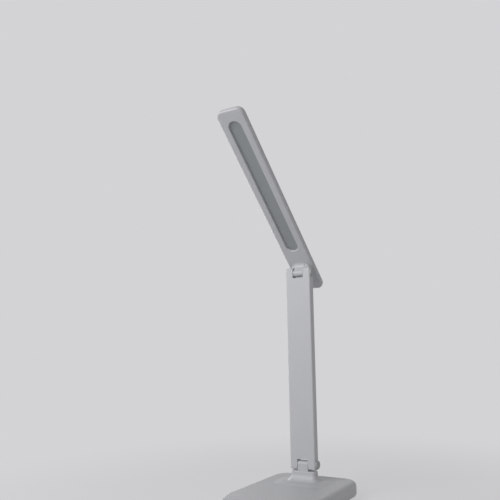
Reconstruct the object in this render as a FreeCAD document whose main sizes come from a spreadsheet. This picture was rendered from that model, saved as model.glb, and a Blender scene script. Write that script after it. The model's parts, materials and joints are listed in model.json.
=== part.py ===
import FreeCAD, Part
import os
import re

import Sketcher

# Folding LED desk lamp: a weighted base with a neck, a flat arm forked at both ends, and a slab head with a
# long round-ended window. Millimetres, +Z up, -Y towards the user. The origin is the centre of the base's
# underside, on the table.

SIZES = (
    # base
    ("base_width", 100.0),
    ("base_depth", 136.0),
    ("base_corner", 18.0),
    ("base_top", 16.5),
    ("base_wall", 2.0),
    ("base_edge", 5.0),
    ("skirt_gap", 1.0),
    ("skirt_round", 4.0),
    ("slope_length", 24.0),
    ("front_height", 9.0),
    ("slope_round", 12.0),
    ("plinth_land_side", 1.0),
    ("plinth_land_front", 2.0),
    ("plinth_corner", 15.0),
    ("plinth_slope", 8.0),
    ("plinth_height", 1.2),
    ("neck_width", 29.0),
    ("neck_depth", 10.0),
    ("neck_corner", 3.5),
    ("neck_flare", 7.5),
    ("neck_shoulder", 1.2),
    ("neck_bore", 2.0),
    # underside of the base
    ("pad_thickness", 1.2),
    ("pad_margin", 8.0),
    ("cover_rim", 5.0),
    ("cover_thickness", 2.0),
    ("cover_play", 0.3),
    ("boss_radius", 3.5),
    ("boss_side", 11.0),
    ("boss_front", 30.0),
    ("boss_back", 16.0),
    ("gusset_thickness", 1.2),
    ("gusset_lift", 3.0),
    # weight
    ("ballast_side_gap", 5.0),
    ("ballast_board_gap", 6.0),
    ("ballast_back", 24.0),
    ("ballast_thickness", 6.0),
    ("ballast_corner", 6.0),
    ("ballast_screw_inset", 12.0),
    # driver board
    ("board_width", 56.0),
    ("board_depth", 26.0),
    ("board_thickness", 1.6),
    ("board_setback", 45.0),
    ("board_lift", 2.5),
    ("board_margin", 4.0),
    ("standoff_radius", 2.4),
    ("chip_width", 7.0),
    ("chip_height", 1.2),
    ("coil_radius", 4.0),
    ("coil_height", 4.0),
    ("capacitor_radius", 3.15),
    ("capacitor_height", 5.4),
    ("plug_width", 6.0),
    ("plug_depth", 4.0),
    ("plug_height", 4.5),
    # power key, measured along the normal of the sloped front
    ("key_setback", 13.5),
    ("key_radius", 5.5),
    ("key_play", 0.3),
    ("key_proud", 0.9),
    ("key_dish", 0.4),
    ("key_bevel", 0.6),
    ("key_flange", 1.0),
    ("key_flange_thickness", 0.9),
    ("key_stem", 0.5),
    ("key_stem_radius", 1.6),
    ("switch_width", 6.0),
    ("switch_height", 1.6),
    ("switch_floor", 0.2),
    ("switch_gap", 0.5),
    ("plunger_radius", 1.6),
    ("plunger_length", 1.1),
    ("key_board_width", 24.0),
    ("key_board_depth", 9.0),
    ("key_board_thickness", 0.8),
    ("key_post_across", 18.0),
    ("key_post_radius", 2.0),
    # supply socket
    ("inlet_width", 8.94),
    ("inlet_height", 3.2),
    ("inlet_flat", 0.1),
    ("inlet_length", 7.3),
    ("inlet_wall", 0.3),
    ("inlet_recess", 0.8),
    ("inlet_play", 0.35),
    ("inlet_back", 0.8),
    ("blade_width", 6.7),
    ("blade_thickness", 0.7),
    ("blade_length", 4.8),
    ("inlet_board_width", 18.0),
    ("inlet_board_depth", 11.0),
    ("inlet_board_thickness", 1.0),
    ("inlet_board_lift", 1.0),
    ("inlet_board_gap", 1.0),
    ("inlet_screw_across", 14.0),
    ("inlet_thread", 1.0),
    # hinges
    ("pin_setback", 35.5),
    ("pin_height", 18.5),
    ("pin_radius", 1.5),
    ("pin_play", 0.05),
    ("pin_head_radius", 2.7),
    ("pin_head_length", 1.8),
    ("cap_rim", 0.5),
    ("cap_proud", 2.0),
    ("cap_seat", 0.7),
    ("cap_round", 0.8),
    ("nut_radius", 2.9),
    ("nut_length", 2.4),
    ("nut_recess", 3.0),
    ("tongue_width", 12.0),
    ("tongue_radius", 3.9),
    ("shoulder_drop", 6.8),
    ("notch_corner", 0.6),
    ("notch_reach", 5.4),
    ("washer_radius", 3.6),
    ("washer_thickness", 0.4),
    ("washer_play", 0.1),
    # arm
    ("arm_length", 205.0),
    ("arm_width", 30.0),
    ("arm_depth", 8.2),
    ("arm_edge", 1.5),
    ("prong_reach", 5.7),
    ("prong_round", 2.5),
    ("arm_wall", 1.8),
    ("lid_side", 2.0),
    ("lid_end", 12.5),
    ("lid_corner", 3.0),
    ("lid_thickness", 1.6),
    ("lid_play", 0.15),
    ("lid_ledge", 2.0),
    ("well_corner", 2.0),
    ("lid_screw_end", 30.0),
    ("lid_boss_radius", 2.2),
    ("lid_boss_gap", 0.6),
    ("lid_boss_floor", 1.2),
    ("rib_thickness", 1.2),
    ("rib_pitch", 24.0),
    ("rib_drop", 2.0),
    ("stiffener_side_gap", 0.5),
    ("stiffener_end_gap", 3.0),
    ("stiffener_thickness", 1.2),
    ("wire_radius", 0.8),
    ("wire_pitch", 1.7),
    ("wire_play", 0.25),
    # head
    ("head_tilt", 44.0),
    ("head_reach", 195.0),
    ("head_tail", 31.8),
    ("head_width", 30.0),
    ("head_depth", 6.2),
    ("head_rise", 8.8),
    ("head_corner", 7.0),
    ("head_edge", 1.8),
    ("head_wall", 1.6),
    ("cover_height", 2.6),
    ("head_seam", 0.3),
    ("lap_thickness", 0.8),
    ("lap_depth", 1.2),
    ("lap_play", 0.1),
    ("frame_floor", 1.9),
    ("window_width", 14.0),
    ("window_near", 24.4),
    ("window_end", 12.0),
    ("window_lip", 1.0),
    ("diffuser_margin", 2.2),
    ("diffuser_thickness", 0.8),
    ("diffuser_play", 0.15),
    ("rail_thickness", 1.0),
    ("rail_height", 1.0),
    ("led_board_width", 17.0),
    ("led_board_overlap", 3.5),
    ("led_board_thickness", 0.8),
    ("led_width", 2.8),
    ("led_length", 3.5),
    ("led_height", 0.5),
    ("led_pitch", 6.6),
    ("led_margin", 3.0),
    ("lug_foot_length", 16.0),
    ("lug_foot_thickness", 1.5),
    ("lug_foot_corner", 2.0),
    ("lug_screw_across", 7.0),
    ("lug_pin_wall", 1.5),
    # leads and small screws
    ("lead_radius", 1.1),
    ("lead_bend", 5.0),
    ("head_lead_bend", 1.2),
    ("head_lead_lap", 1.0),
    ("screw_radius", 1.2),
    ("screw_head_radius", 2.2),
    ("screw_head_height", 1.1),
    ("small_screw_radius", 0.9),
    ("small_screw_head_radius", 1.7),
    ("small_screw_head_height", 0.9),
    ("tip_gap", 0.5),
    ("thread_play", 0.05),
    ("seat_play", 0.05),
)

# Places that follow from the sizes, as expressions on the sheet.
COVER_TOP = "(pad_thickness + cover_thickness)"
CEILING = "(base_top - base_wall)"
PIN_Y = "(base_depth / 2 - pin_setback)"
PIN_Z = "(base_top + pin_height)"
SHOULDER_Z = f"({PIN_Z} - shoulder_drop)"
BOSS_ACROSS = "(base_width - 2 * boss_side)"
BOSS_ROWS = ("boss_front - base_depth / 2", "base_depth / 2 - boss_back")
PLINTH_WIDTH = "(neck_width + 2 * (neck_flare + plinth_land_side + plinth_slope))"
PLINTH_DEPTH = "(neck_depth + 2 * (neck_flare + plinth_land_front + plinth_slope))"
BOARD_Y = "(board_setback - base_depth / 2)"
BOARD_BACK = f"({BOARD_Y} + board_depth / 2)"
BALLAST_WIDTH = "(base_width - 2 * (base_wall + ballast_side_gap))"
BALLAST_NEAR = f"({BOARD_BACK} + ballast_board_gap)"
BALLAST_FAR = "(base_depth / 2 - ballast_back)"
BALLAST_Y = f"(({BALLAST_NEAR} + {BALLAST_FAR}) / 2)"
BALLAST_SCREW_ACROSS = f"({BALLAST_WIDTH} - 2 * ballast_screw_inset)"
BALLAST_TOP = f"({COVER_TOP} + ballast_thickness)"
BOARD_LOW = f"({COVER_TOP} + board_lift)"
BOARD_TOP = f"({BOARD_LOW} + board_thickness)"
INLET_BOARD_LOW = f"({COVER_TOP} + inlet_board_lift)"
INLET_BOARD_TOP = f"({INLET_BOARD_LOW} + inlet_board_thickness)"
INLET_MOUTH = "(base_depth / 2 - inlet_recess)"
INLET_Z = f"({INLET_BOARD_TOP} + inlet_height / 2)"
INLET_CORNER = "(inlet_height / 2 - inlet_flat)"
INLET_BOARD_Y = "(base_depth / 2 - base_wall - inlet_board_gap - inlet_board_depth / 2)"
SLOPE_RATE = "((base_top - front_height) / slope_length)"
SLOPE_ANGLE = f"atan({SLOPE_RATE})"
KEY_Y = "(key_setback - base_depth / 2)"
KEY_Z = f"(base_top - {SLOPE_RATE} * (slope_length - key_setback))"
KEY_FLANGE_LOW = "(base_wall + key_play + key_flange_thickness)"
PLUNGER_TOP = f"({KEY_FLANGE_LOW} + key_stem)"
SWITCH_TOP = f"({PLUNGER_TOP} + switch_gap)"
KEY_BOARD_TOP = f"({SWITCH_TOP} + switch_height)"
KEY_BOARD_LOW = f"({KEY_BOARD_TOP} + key_board_thickness)"
ARM_FLOOR = "(arm_wall - arm_depth / 2)"
LID_SEAT = "(arm_depth / 2 - lid_thickness)"
LID_HEAD_SEAT = "(arm_depth / 2 - thread_play - small_screw_head_height)"
LID_WIDTH = "(arm_width - 2 * lid_side)"
LID_LENGTH = "(arm_length - 2 * lid_end)"
LID_BOSS_FLOOR = f"({ARM_FLOOR} + lid_boss_floor)"
LID_SCREW_ACROSS = f"({LID_WIDTH} - 2 * (lid_ledge + lid_boss_gap + lid_boss_radius))"
WELL_WIDTH = f"({LID_WIDTH} - 2 * lid_ledge)"
WELL_LENGTH = f"({LID_LENGTH} - 2 * lid_ledge)"
STIFFENER_WIDTH = f"({LID_SCREW_ACROSS} - 2 * (lid_boss_radius + stiffener_side_gap))"
STIFFENER_LENGTH = f"({WELL_LENGTH} - 2 * stiffener_end_gap)"
WIRE_Y = f"({ARM_FLOOR} + stiffener_thickness + wire_radius + seat_play)"
NOTCH_WIDTH = "(tongue_width + 2 * (washer_thickness + washer_play))"
NOTCH_WALL = f"({NOTCH_WIDTH} / 2)"
CAP_RADIUS = "(arm_depth / 2 - cap_rim)"
CAP_INNER = "(arm_width / 2 - cap_seat)"
PIN_HEAD_INNER = f"({CAP_INNER} - seat_play * 2 - pin_head_length)"
NUT_INNER = "(arm_width / 2 - nut_recess)"
HEAD_LENGTH = "(head_reach + head_tail)"
HEAD_MIDDLE = "((head_tail - head_reach) / 2)"
FLOOR_TOP = "(head_rise + frame_floor)"
HEAD_TOP = "(head_rise + head_depth)"
HEAD_CEILING = f"({HEAD_TOP} - head_wall)"
FRAME_TOP = f"({HEAD_TOP} - cover_height)"
LAP_FLOOR = f"({FRAME_TOP} - lap_depth)"
WINDOW_FAR = "(head_reach - window_end)"
WINDOW_LENGTH = f"({WINDOW_FAR} - window_near)"
WINDOW_MIDDLE = f"(-({WINDOW_FAR} + window_near) / 2)"
LED_BOARD_LENGTH = f"({WINDOW_LENGTH} + 2 * led_board_overlap)"
LED_BOARD_LOW = f"({HEAD_CEILING} - led_board_thickness)"
LED_BOARD_NEAR = f"({WINDOW_MIDDLE} + {LED_BOARD_LENGTH} / 2)"
LUG_BORE_LOW = "(pin_radius + lug_pin_wall)"
PILOT = "(screw_radius + thread_play)"
SMALL_PILOT = "(small_screw_radius + thread_play)"

# Two places closer than this are the same, a box that picks edges is this much larger than they are, and a
# face whose normal rises more than this belongs to the top.
NEAR = 1e-4
PICK_ROOM = 0.01
UPWARD = 0.5

ALIASES = {alias for alias, number in SIZES}
WORD = re.compile(r"[a-z_][a-z0-9_]*")

doc = FreeCAD.newDocument("desk_lamp")
sheet = doc.addObject("Spreadsheet::Sheet", "Sizes")
for row, (alias, number) in enumerate(SIZES, start=1):
    sheet.set(f"A{row}", alias)
    sheet.set(f"B{row}", str(number))
    sheet.setAlias(f"B{row}", alias)
doc.recompute()

nodes = []


# Sizes and expressions

def on_sheet(expression):
    """The expression with every size written as a cell of the sheet."""
    return WORD.sub(lambda word: f"Sizes.{word[0]}" if word[0] in ALIASES else word[0], expression)


def value(expression):
    """The number that an expression gives."""
    result = sheet.evalExpression(on_sheet(expression))
    return float(getattr(result, "Value", result))


def bind(thing, prop, expression):
    """Tie a property of a document object to the sheet."""
    thing.setExpression(prop, on_sheet(expression))


def move(thing, at):
    """Tie the place of an object to three expressions."""
    for axis, expression in zip("xyz", at):
        bind(thing, f"Placement.Base.{axis}", expression)


def turn(thing, angle):
    """Tie a turn about the X axis to an expression."""
    thing.Placement = FreeCAD.Placement(thing.Placement.Base, FreeCAD.Rotation(FreeCAD.Vector(1, 0, 0), 1))
    bind(thing, "Placement.Rotation.Angle", angle)


def on_arm(thing):
    """Stand an object, made about the lower hinge pin, on the base's neck."""
    move(thing, ("0", PIN_Y, PIN_Z))
    return thing


def on_head(thing):
    """Put an object, made about the upper hinge pin with the head level, on the tilted head."""
    turn(thing, "-head_tilt")
    move(thing, ("0", PIN_Y, f"{PIN_Z} + arm_length"))
    return thing


def on_slope(thing):
    """Put an object, made with +Z out of the surface, at the key's place on the sloped front."""
    turn(thing, SLOPE_ANGLE)
    move(thing, ("0", KEY_Y, KEY_Z))
    return thing


def keep(thing, label):
    """Name a finished sub-part and add it to the model."""
    thing.Label = label
    nodes.append(thing)
    return thing


# Sketches

def sketch_on(body, plane, x="0", y="0", z="0"):
    """A sketch on an origin plane of the body, shifted by x and y in that plane and z out of it."""
    sketch = body.newObject("Sketcher::SketchObject", f"{body.Name}_sketch")
    support = next(feature for feature in body.Origin.OriginFeatures if feature.Role == plane)
    sketch.AttachmentSupport = [(support, "")]
    sketch.MapMode = "FlatFace"
    for axis, offset in zip("xyz", (x, y, z)):
        bind(sketch, f"AttachmentOffset.Base.{axis}", offset)
    return sketch


def constrain(sketch, *rules):
    """Add plain geometric constraints."""
    for rule in rules:
        sketch.addConstraint(Sketcher.Constraint(*rule))


def dimension(sketch, kind, references, expression):
    """Add a size constraint that follows an expression."""
    name = f"size_{sketch.ConstraintCount}"
    index = sketch.addConstraint(Sketcher.Constraint(kind, *references, value(expression)))
    sketch.renameConstraint(index, name)
    bind(sketch, f"Constraints.{name}", expression)


def arc(x, y, radius, start, end):
    """An arc of a circle, with its angles in quarter turns."""
    quarter = FreeCAD.Units.Quantity("90 deg").getValueAs("rad").Value
    circle = Part.Circle(FreeCAD.Vector(x, y, 0), FreeCAD.Vector(0, 0, 1), radius)
    return Part.ArcOfCircle(circle, start * quarter, end * quarter)


def line(x0, y0, x1, y1):
    """A straight line in the sketch's plane."""
    return Part.LineSegment(FreeCAD.Vector(x0, y0, 0), FreeCAD.Vector(x1, y1, 0))


def draw_rounded_rectangle(sketch, width, depth, radius):
    """Rectangle with round corners, centred on the sketch's origin."""
    w = value(width) / 2
    d = value(depth) / 2
    r = value(radius)
    first = sketch.GeometryCount
    sketch.addGeometry([
        line(r - w, -d, w - r, -d),
        arc(w - r, r - d, r, 3, 4),
        line(w, r - d, w, d - r),
        arc(w - r, d - r, r, 0, 1),
        line(w - r, d, r - w, d),
        arc(r - w, d - r, r, 1, 2),
        line(-w, d - r, -w, r - d),
        arc(r - w, r - d, r, 2, 3),
    ])
    side = [first + number for number in range(8)]
    for number in range(8):
        constrain(sketch, ("Tangent", side[number], 2, side[(number + 1) % 8], 1))
    constrain(
        sketch,
        ("Horizontal", side[0]),
        ("Vertical", side[2]),
        ("Horizontal", side[4]),
        ("Vertical", side[6]),
        ("Equal", side[1], side[3]),
        ("Equal", side[1], side[5]),
        ("Equal", side[1], side[7]),
        ("Symmetric", side[0], 1, side[4], 1, -1, 1),
    )
    dimension(sketch, "DistanceX", (side[6], 1, side[2], 1), width)
    dimension(sketch, "DistanceY", (side[0], 1, side[4], 1), depth)
    dimension(sketch, "Radius", (side[1],), radius)


def draw_obround(sketch, width, length):
    """Slot with full round ends, centred on the sketch's origin, long in its second direction."""
    r = value(width) / 2
    half = value(length) / 2 - r
    sketch.addGeometry([
        line(r, -half, r, half),
        arc(0, half, r, 0, 2),
        line(-r, half, -r, -half),
        arc(0, -half, r, 2, 4),
    ])
    constrain(
        sketch,
        ("Tangent", 0, 2, 1, 1),
        ("Tangent", 1, 2, 2, 1),
        ("Tangent", 2, 2, 3, 1),
        ("Tangent", 3, 2, 0, 1),
        ("Vertical", 0),
        ("Equal", 1, 3),
        ("Symmetric", 1, 3, 3, 3, -1, 1),
    )
    dimension(sketch, "Radius", (1,), f"({width}) / 2")
    dimension(sketch, "DistanceY", (3, 3, 1, 3), f"({length}) - ({width})")


def draw_circle(sketch, radius):
    """Circle about the sketch's origin."""
    circle = Part.Circle(FreeCAD.Vector(0, 0, 0), FreeCAD.Vector(0, 0, 1), value(radius))
    index = sketch.addGeometry(circle)
    constrain(sketch, ("Coincident", index, 3, -1, 1))
    dimension(sketch, "Radius", (index,), radius)


def draw_tongue(sketch, reach):
    """Hinge tongue: round end about the origin, straight sides down to a foot line, and the pin's hole."""
    r = value("tongue_radius")
    foot = value(reach)
    sketch.addGeometry([
        arc(0, 0, r, 0, 2),
        line(-r, 0, -r, -foot),
        line(-r, -foot, r, -foot),
        line(r, -foot, r, 0),
    ])
    constrain(
        sketch,
        ("Coincident", 0, 3, -1, 1),
        ("Tangent", 0, 2, 1, 1),
        ("Coincident", 1, 2, 2, 1),
        ("Coincident", 2, 2, 3, 1),
        ("Tangent", 3, 2, 0, 1),
        ("Vertical", 1),
        ("Horizontal", 2),
        ("Vertical", 3),
    )
    dimension(sketch, "Radius", (0,), "tongue_radius")
    dimension(sketch, "DistanceY", (2, 1, -1, 1), reach)
    draw_circle(sketch, "pin_radius + pin_play")


def fix_point(sketch, geometry, point, x, y):
    """Hold a point of the sketch at two expressions from its origin."""
    for kind, axis, expression in (("DistanceX", -2, x), ("DistanceY", -1, y)):
        place = value(expression)
        if abs(place) < NEAR:
            constrain(sketch, ("PointOnObject", geometry, point, axis))
        elif place > 0:
            dimension(sketch, kind, (-1, 1, geometry, point), expression)
        else:
            dimension(sketch, kind, (geometry, point, -1, 1), f"-({expression})")


def draw_polygon(sketch, corners):
    """Closed polygon, each corner given by two expressions."""
    places = [(value(x), value(y)) for x, y in corners]
    count = len(corners)
    for number in range(count):
        sketch.addGeometry(line(*places[number], *places[(number + 1) % count]))
    for number in range(count):
        constrain(sketch, ("Coincident", number, 2, (number + 1) % count, 1))
    for number, (x, y) in enumerate(corners):
        fix_point(sketch, number, 1, x, y)


# Features

def new_body(name):
    """An empty body."""
    return doc.addObject("PartDesign::Body", name)


def pad(body, sketch, length, symmetric=False, backward=False):
    """Extrude a sketch into the body."""
    feature = body.newObject("PartDesign::Pad", f"{body.Name}_pad")
    feature.Profile = sketch
    feature.SideType = "Symmetric" if symmetric else "One side"
    feature.Reversed = backward
    bind(feature, "Length", length)
    return feature


def pocket(body, sketch, length, symmetric=False, backward=False):
    """Cut a sketch out of the body, and make sure that it did cut."""
    doc.recompute()
    before = body.Shape.Volume
    feature = body.newObject("PartDesign::Pocket", f"{body.Name}_pocket")
    feature.Profile = sketch
    feature.Type = "Length"
    feature.SideType = "Symmetric" if symmetric else "One side"
    feature.Reversed = backward
    bind(feature, "Length", length)
    doc.recompute()
    if body.Shape.Volume >= before:
        raise ValueError(f"{feature.Name} cuts nothing")
    return feature


def fillet(body, radius, chosen):
    """Round the edges of the body that the test chooses."""
    doc.recompute()
    base = body.Tip
    names = [f"Edge{number}" for number, edge in enumerate(base.Shape.Edges, start=1) if chosen(edge)]
    feature = body.newObject("PartDesign::Fillet", f"{body.Name}_fillet")
    feature.Base = (base, names)
    bind(feature, "Radius", radius)
    return feature


def level_with(expression):
    """Test for edges that lie wholly at one height."""
    height = value(expression)
    return lambda edge: all(abs(corner.Z - height) < NEAR for corner in edge.Vertexes)


def inside_box(half_width, near, far):
    """Test for edges that lie between two depths and no further from the middle than a half width."""
    side = value(half_width) + PICK_ROOM
    low = value(near) - PICK_ROOM
    high = value(far) + PICK_ROOM

    def chosen(edge):
        reach = edge.BoundBox
        return -side < reach.XMin and reach.XMax < side and low < reach.YMin and reach.YMax < high
    return chosen


def box(size, at):
    """A block with its lowest corner at a place."""
    block = doc.addObject("Part::Box", "block")
    for prop, expression in zip(("Length", "Width", "Height"), size):
        bind(block, prop, expression)
    move(block, at)
    return block


def cylinder(radius, height, at, along="z"):
    """A round bar that starts at a place and runs along an axis."""
    bar = doc.addObject("Part::Cylinder", "bar")
    if along == "x":
        bar.Placement.Rotation = FreeCAD.Rotation(FreeCAD.Vector(0, 1, 0), 90)
    if along == "y":
        bar.Placement.Rotation = FreeCAD.Rotation(FreeCAD.Vector(1, 0, 0), -90)
    bind(bar, "Radius", radius)
    bind(bar, "Height", height)
    move(bar, at)
    return bar


def fuse(things):
    """Several touching objects as one solid."""
    joined = doc.addObject("Part::MultiFuse", "joined")
    joined.Shapes = things
    return joined


def cut(thing, tools):
    """An object with others taken out of it."""
    trimmed = doc.addObject("Part::Cut", "trimmed")
    trimmed.Base = thing
    trimmed.Tool = group(tools) if len(tools) > 1 else tools[0]
    return trimmed


def group(things):
    """Separate solids in one object."""
    gathered = doc.addObject("Part::Compound", "gathered")
    gathered.Links = things
    return gathered


def mirrored_places(across, *rest):
    """The left and the right place of a pair."""
    return [(f"{side} * ({across}) / 2", *rest) for side in (-1, 1)]


def screw(at, shank, size="screw", along="z", head_first=False):
    """A pan-head screw; `at` is the underside of the head, and the shank runs along the axis from there."""
    index = "xyz".index(along)
    head_at = list(at)
    if not head_first:
        head_at[index] = f"{at[index]} - {size}_head_height"
        shank_at = list(at)
    else:
        shank_at = list(at)
        shank_at[index] = f"{at[index]} - ({shank})"
    head = cylinder(f"{size}_head_radius", f"{size}_head_height", head_at, along)
    thread = cylinder(f"{size}_radius", shank, shank_at, along)
    return fuse([head, thread])


# Base shell

def base_form(name, inset, low):
    """Rounded block with a sloped front, evenly smaller than the outside of the base by `inset`."""
    body = new_body(name)
    plan = sketch_on(body, "XY_Plane", z=low)
    draw_rounded_rectangle(
        plan,
        f"base_width - 2 * ({inset})",
        f"base_depth - 2 * ({inset})",
        f"base_corner - ({inset})",
    )
    pad(body, plan, f"base_top - ({inset}) - ({low})")
    side = sketch_on(body, "YZ_Plane")
    over = "slope_length"
    sunk = f"({inset}) * sqrt(1 + {SLOPE_RATE}^2)"
    front = f"-base_depth / 2 - {over}"
    high = f"base_top - {sunk} + {SLOPE_RATE} * {over}"
    draw_polygon(side, (
        (front, f"front_height - {sunk} - {SLOPE_RATE} * {over}"),
        (f"slope_length + {over} - base_depth / 2", high),
        (front, high),
    ))
    pocket(body, side, "2 * base_width", symmetric=True)
    faces = [face for face in body.Tip.Shape.Faces if face.normalAt(0, 0).z > UPWARD]
    fillet(body, "slope_round", lambda edge: owners(edge, faces) == 2)
    doc.recompute()
    upper = [face for face in body.Tip.Shape.Faces if face.normalAt(0.5, 0.5).z > UPWARD]
    fillet(body, f"base_edge - ({inset})", lambda edge: owners(edge, upper) == 1)
    return body


def floor_plan(body, low, inset):
    """Block up to the top of the floor plate, evenly smaller than the base's outline by `inset`."""
    plan = sketch_on(body, "XY_Plane", z=low)
    draw_rounded_rectangle(
        plan,
        f"base_width - 2 * ({inset})",
        f"base_depth - 2 * ({inset})",
        f"base_corner - ({inset})",
    )
    pad(body, plan, f"{COVER_TOP} - ({low})")


def owners(edge, faces):
    """How many of the faces an edge bounds."""
    return sum(any(edge.isSame(side) for side in face.Edges) for face in faces)


def boss_places():
    """The four places where the upper shell is screwed to the floor plate."""
    return [place for y in BOSS_ROWS for place in mirrored_places(BOSS_ACROSS, y)]


def make_base_shell():
    """Upper shell: outside form with plinth, neck and tongue, hollowed, with bosses and openings."""
    outside = base_form("base_outside", "0", "skirt_gap")
    fillet(outside, "skirt_round", level_with("skirt_gap"))
    foot = sketch_on(outside, "XY_Plane", y=PIN_Y, z="base_top")
    draw_rounded_rectangle(foot, PLINTH_WIDTH, PLINTH_DEPTH, "plinth_corner")
    land = sketch_on(outside, "XY_Plane", y=PIN_Y, z="base_top + plinth_height")
    draw_rounded_rectangle(
        land,
        f"{PLINTH_WIDTH} - 2 * plinth_slope",
        f"{PLINTH_DEPTH} - 2 * plinth_slope",
        "plinth_corner - plinth_slope",
    )
    plinth = outside.newObject("PartDesign::AdditiveLoft", "plinth")
    plinth.Profile = foot
    plinth.Sections = [land]
    plinth.Ruled = True
    section = sketch_on(outside, "XY_Plane", y=PIN_Y, z="base_top")
    draw_rounded_rectangle(section, "neck_width", "neck_depth", "neck_corner")
    pad(outside, section, f"{SHOULDER_Z} - base_top")
    doc.recompute()
    at_plinth = level_with("base_top + plinth_height")
    by_neck = inside_box("neck_width / 2", f"{PIN_Y} - neck_depth / 2", f"{PIN_Y} + neck_depth / 2")
    fillet(outside, "neck_flare", lambda edge: at_plinth(edge) and by_neck(edge))
    fillet(outside, "neck_shoulder", level_with(SHOULDER_Z))
    tongue = sketch_on(outside, "YZ_Plane", x=PIN_Y, y=PIN_Z)
    draw_tongue(tongue, "shoulder_drop + neck_shoulder")
    pad(outside, tongue, "tongue_width", symmetric=True)

    inside = base_form("base_inside", "base_wall", "0")
    rim = box(("base_width", "base_depth", COVER_TOP), ("-base_width / 2", "-base_depth / 2", "0"))
    opening = new_body("cover_opening")
    floor_plan(opening, "0", "cover_rim")
    hollow = cut(outside, [cut(inside, [rim]), opening])
    solids = [hollow]
    holes = []
    for x, y in boss_places():
        height = f"{CEILING} + base_wall / 2 - {COVER_TOP}"
        solids.append(cylinder("boss_radius", height, (x, y, COVER_TOP)))
        holes.append(cylinder(PILOT, f"{CEILING} - {COVER_TOP}", (x, y, COVER_TOP)))
    gusset_low = f"{COVER_TOP} + gusset_lift"
    gusset = ("boss_side - base_wall / 2", "gusset_thickness", f"base_top - base_edge - ({gusset_low})")
    for y in BOSS_ROWS:
        for x in (f"-{BOSS_ACROSS} / 2 - boss_side + base_wall / 2", f"{BOSS_ACROSS} / 2"):
            solids.append(box(gusset, (x, f"{y} - gusset_thickness / 2", gusset_low)))
    posts = []
    post_holes = []
    for x, y in mirrored_places("key_post_across", "0"):
        post_length = f"{KEY_BOARD_TOP} - base_wall / 2"
        posts.append(cylinder("key_post_radius", post_length, (x, y, f"-{KEY_BOARD_TOP}")))
        hole_length = f"{KEY_BOARD_TOP} - base_wall"
        post_holes.append(cylinder(SMALL_PILOT, hole_length, (x, y, f"-{KEY_BOARD_TOP}")))
    solids.append(on_slope(group(posts)))
    holes.append(on_slope(group(post_holes)))
    key_hole = cylinder("key_radius + key_play", "3 * base_wall", ("0", "0", "-2 * base_wall"))
    holes.append(on_slope(group([key_hole])))
    holes.append(cylinder("neck_bore", f"{PIN_Z} - tongue_radius - {CEILING} + base_wall",
                          ("0", PIN_Y, f"{CEILING} - base_wall")))
    slot = new_body("inlet_opening")
    mouth = sketch_on(slot, "XZ_Plane", y=INLET_Z, z="-base_depth / 2 - base_wall")
    draw_rounded_rectangle(
        mouth,
        "inlet_width + 2 * inlet_play",
        "inlet_height + 2 * inlet_play",
        f"{INLET_CORNER} + inlet_play",
    )
    pad(slot, mouth, "3 * base_wall")
    holes.append(slot)
    return cut(fuse(solids), holes)


keep(make_base_shell(), "base_shell")


# Underside and weight

def make_bottom_cover():
    """Floor plate with standoffs for the boards and holes for the screws."""
    plate = new_body("cover_plate")
    floor_plan(plate, "pad_thickness", "cover_rim + cover_play")
    solids = [plate]
    holes = []
    for x, y in board_screw_places():
        solids.append(cylinder("standoff_radius", "board_lift", (x, y, COVER_TOP)))
        holes.append(cylinder(SMALL_PILOT, "board_lift", (x, y, COVER_TOP)))
    for x, y in mirrored_places("inlet_screw_across", INLET_BOARD_Y):
        solids.append(cylinder("standoff_radius", "inlet_board_lift", (x, y, COVER_TOP)))
        holes.append(cylinder(SMALL_PILOT, "inlet_board_lift + inlet_thread",
                              (x, y, f"{COVER_TOP} - inlet_thread")))
    for x, y in boss_places():
        holes.append(cylinder("screw_radius + 2 * thread_play", "cover_thickness", (x, y, "pad_thickness")))
        holes.append(cylinder("screw_head_radius + 2 * thread_play", "screw_head_height + 2 * thread_play",
                              (x, y, "pad_thickness")))
    for x, y in mirrored_places(BALLAST_SCREW_ACROSS, BALLAST_Y):
        holes.append(cylinder(PILOT, "cover_thickness", (x, y, "pad_thickness")))
    return cut(fuse(solids), holes)


def board_screw_places():
    """The four corners where the driver board is screwed down."""
    across = "(board_width - 2 * board_margin)"
    reach = "(board_depth / 2 - board_margin)"
    rows = (f"{BOARD_Y} - {reach}", f"{BOARD_Y} + {reach}")
    return [place for y in rows for place in mirrored_places(across, y)]


keep(make_bottom_cover(), "base_bottom_cover")

pad_body = new_body("pad_sheet")
pad_plan = sketch_on(pad_body, "XY_Plane")
draw_rounded_rectangle(
    pad_plan,
    "base_width - 2 * pad_margin",
    "base_depth - 2 * pad_margin",
    "base_corner - pad_margin",
)
pad(pad_body, pad_plan, "pad_thickness")
keep(pad_body, "anti_slip_pad")

weight = new_body("weight")
weight_plan = sketch_on(weight, "XY_Plane", y=BALLAST_Y, z=COVER_TOP)
draw_rounded_rectangle(weight_plan, BALLAST_WIDTH, f"{BALLAST_FAR} - {BALLAST_NEAR}", "ballast_corner")
pad(weight, weight_plan, "ballast_thickness")
weight_holes = [
    cylinder("screw_radius + 2 * thread_play", "ballast_thickness", (x, y, COVER_TOP))
    for x, y in mirrored_places(BALLAST_SCREW_ACROSS, BALLAST_Y)
]
keep(cut(weight, weight_holes), "ballast_plate")

ballast_screws = [
    screw((x, y, BALLAST_TOP), "ballast_thickness + cover_thickness - tip_gap", head_first=True)
    for x, y in mirrored_places(BALLAST_SCREW_ACROSS, BALLAST_Y)
]
keep(group(ballast_screws), "ballast_screws")

BASE_SCREW_SEAT = "(pad_thickness + screw_head_height + 2 * thread_play)"
base_screws = [
    screw((x, y, BASE_SCREW_SEAT), f"{CEILING} - tip_gap - {BASE_SCREW_SEAT}")
    for x, y in boss_places()
]
keep(group(base_screws), "base_screws")


# Driver board

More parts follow.
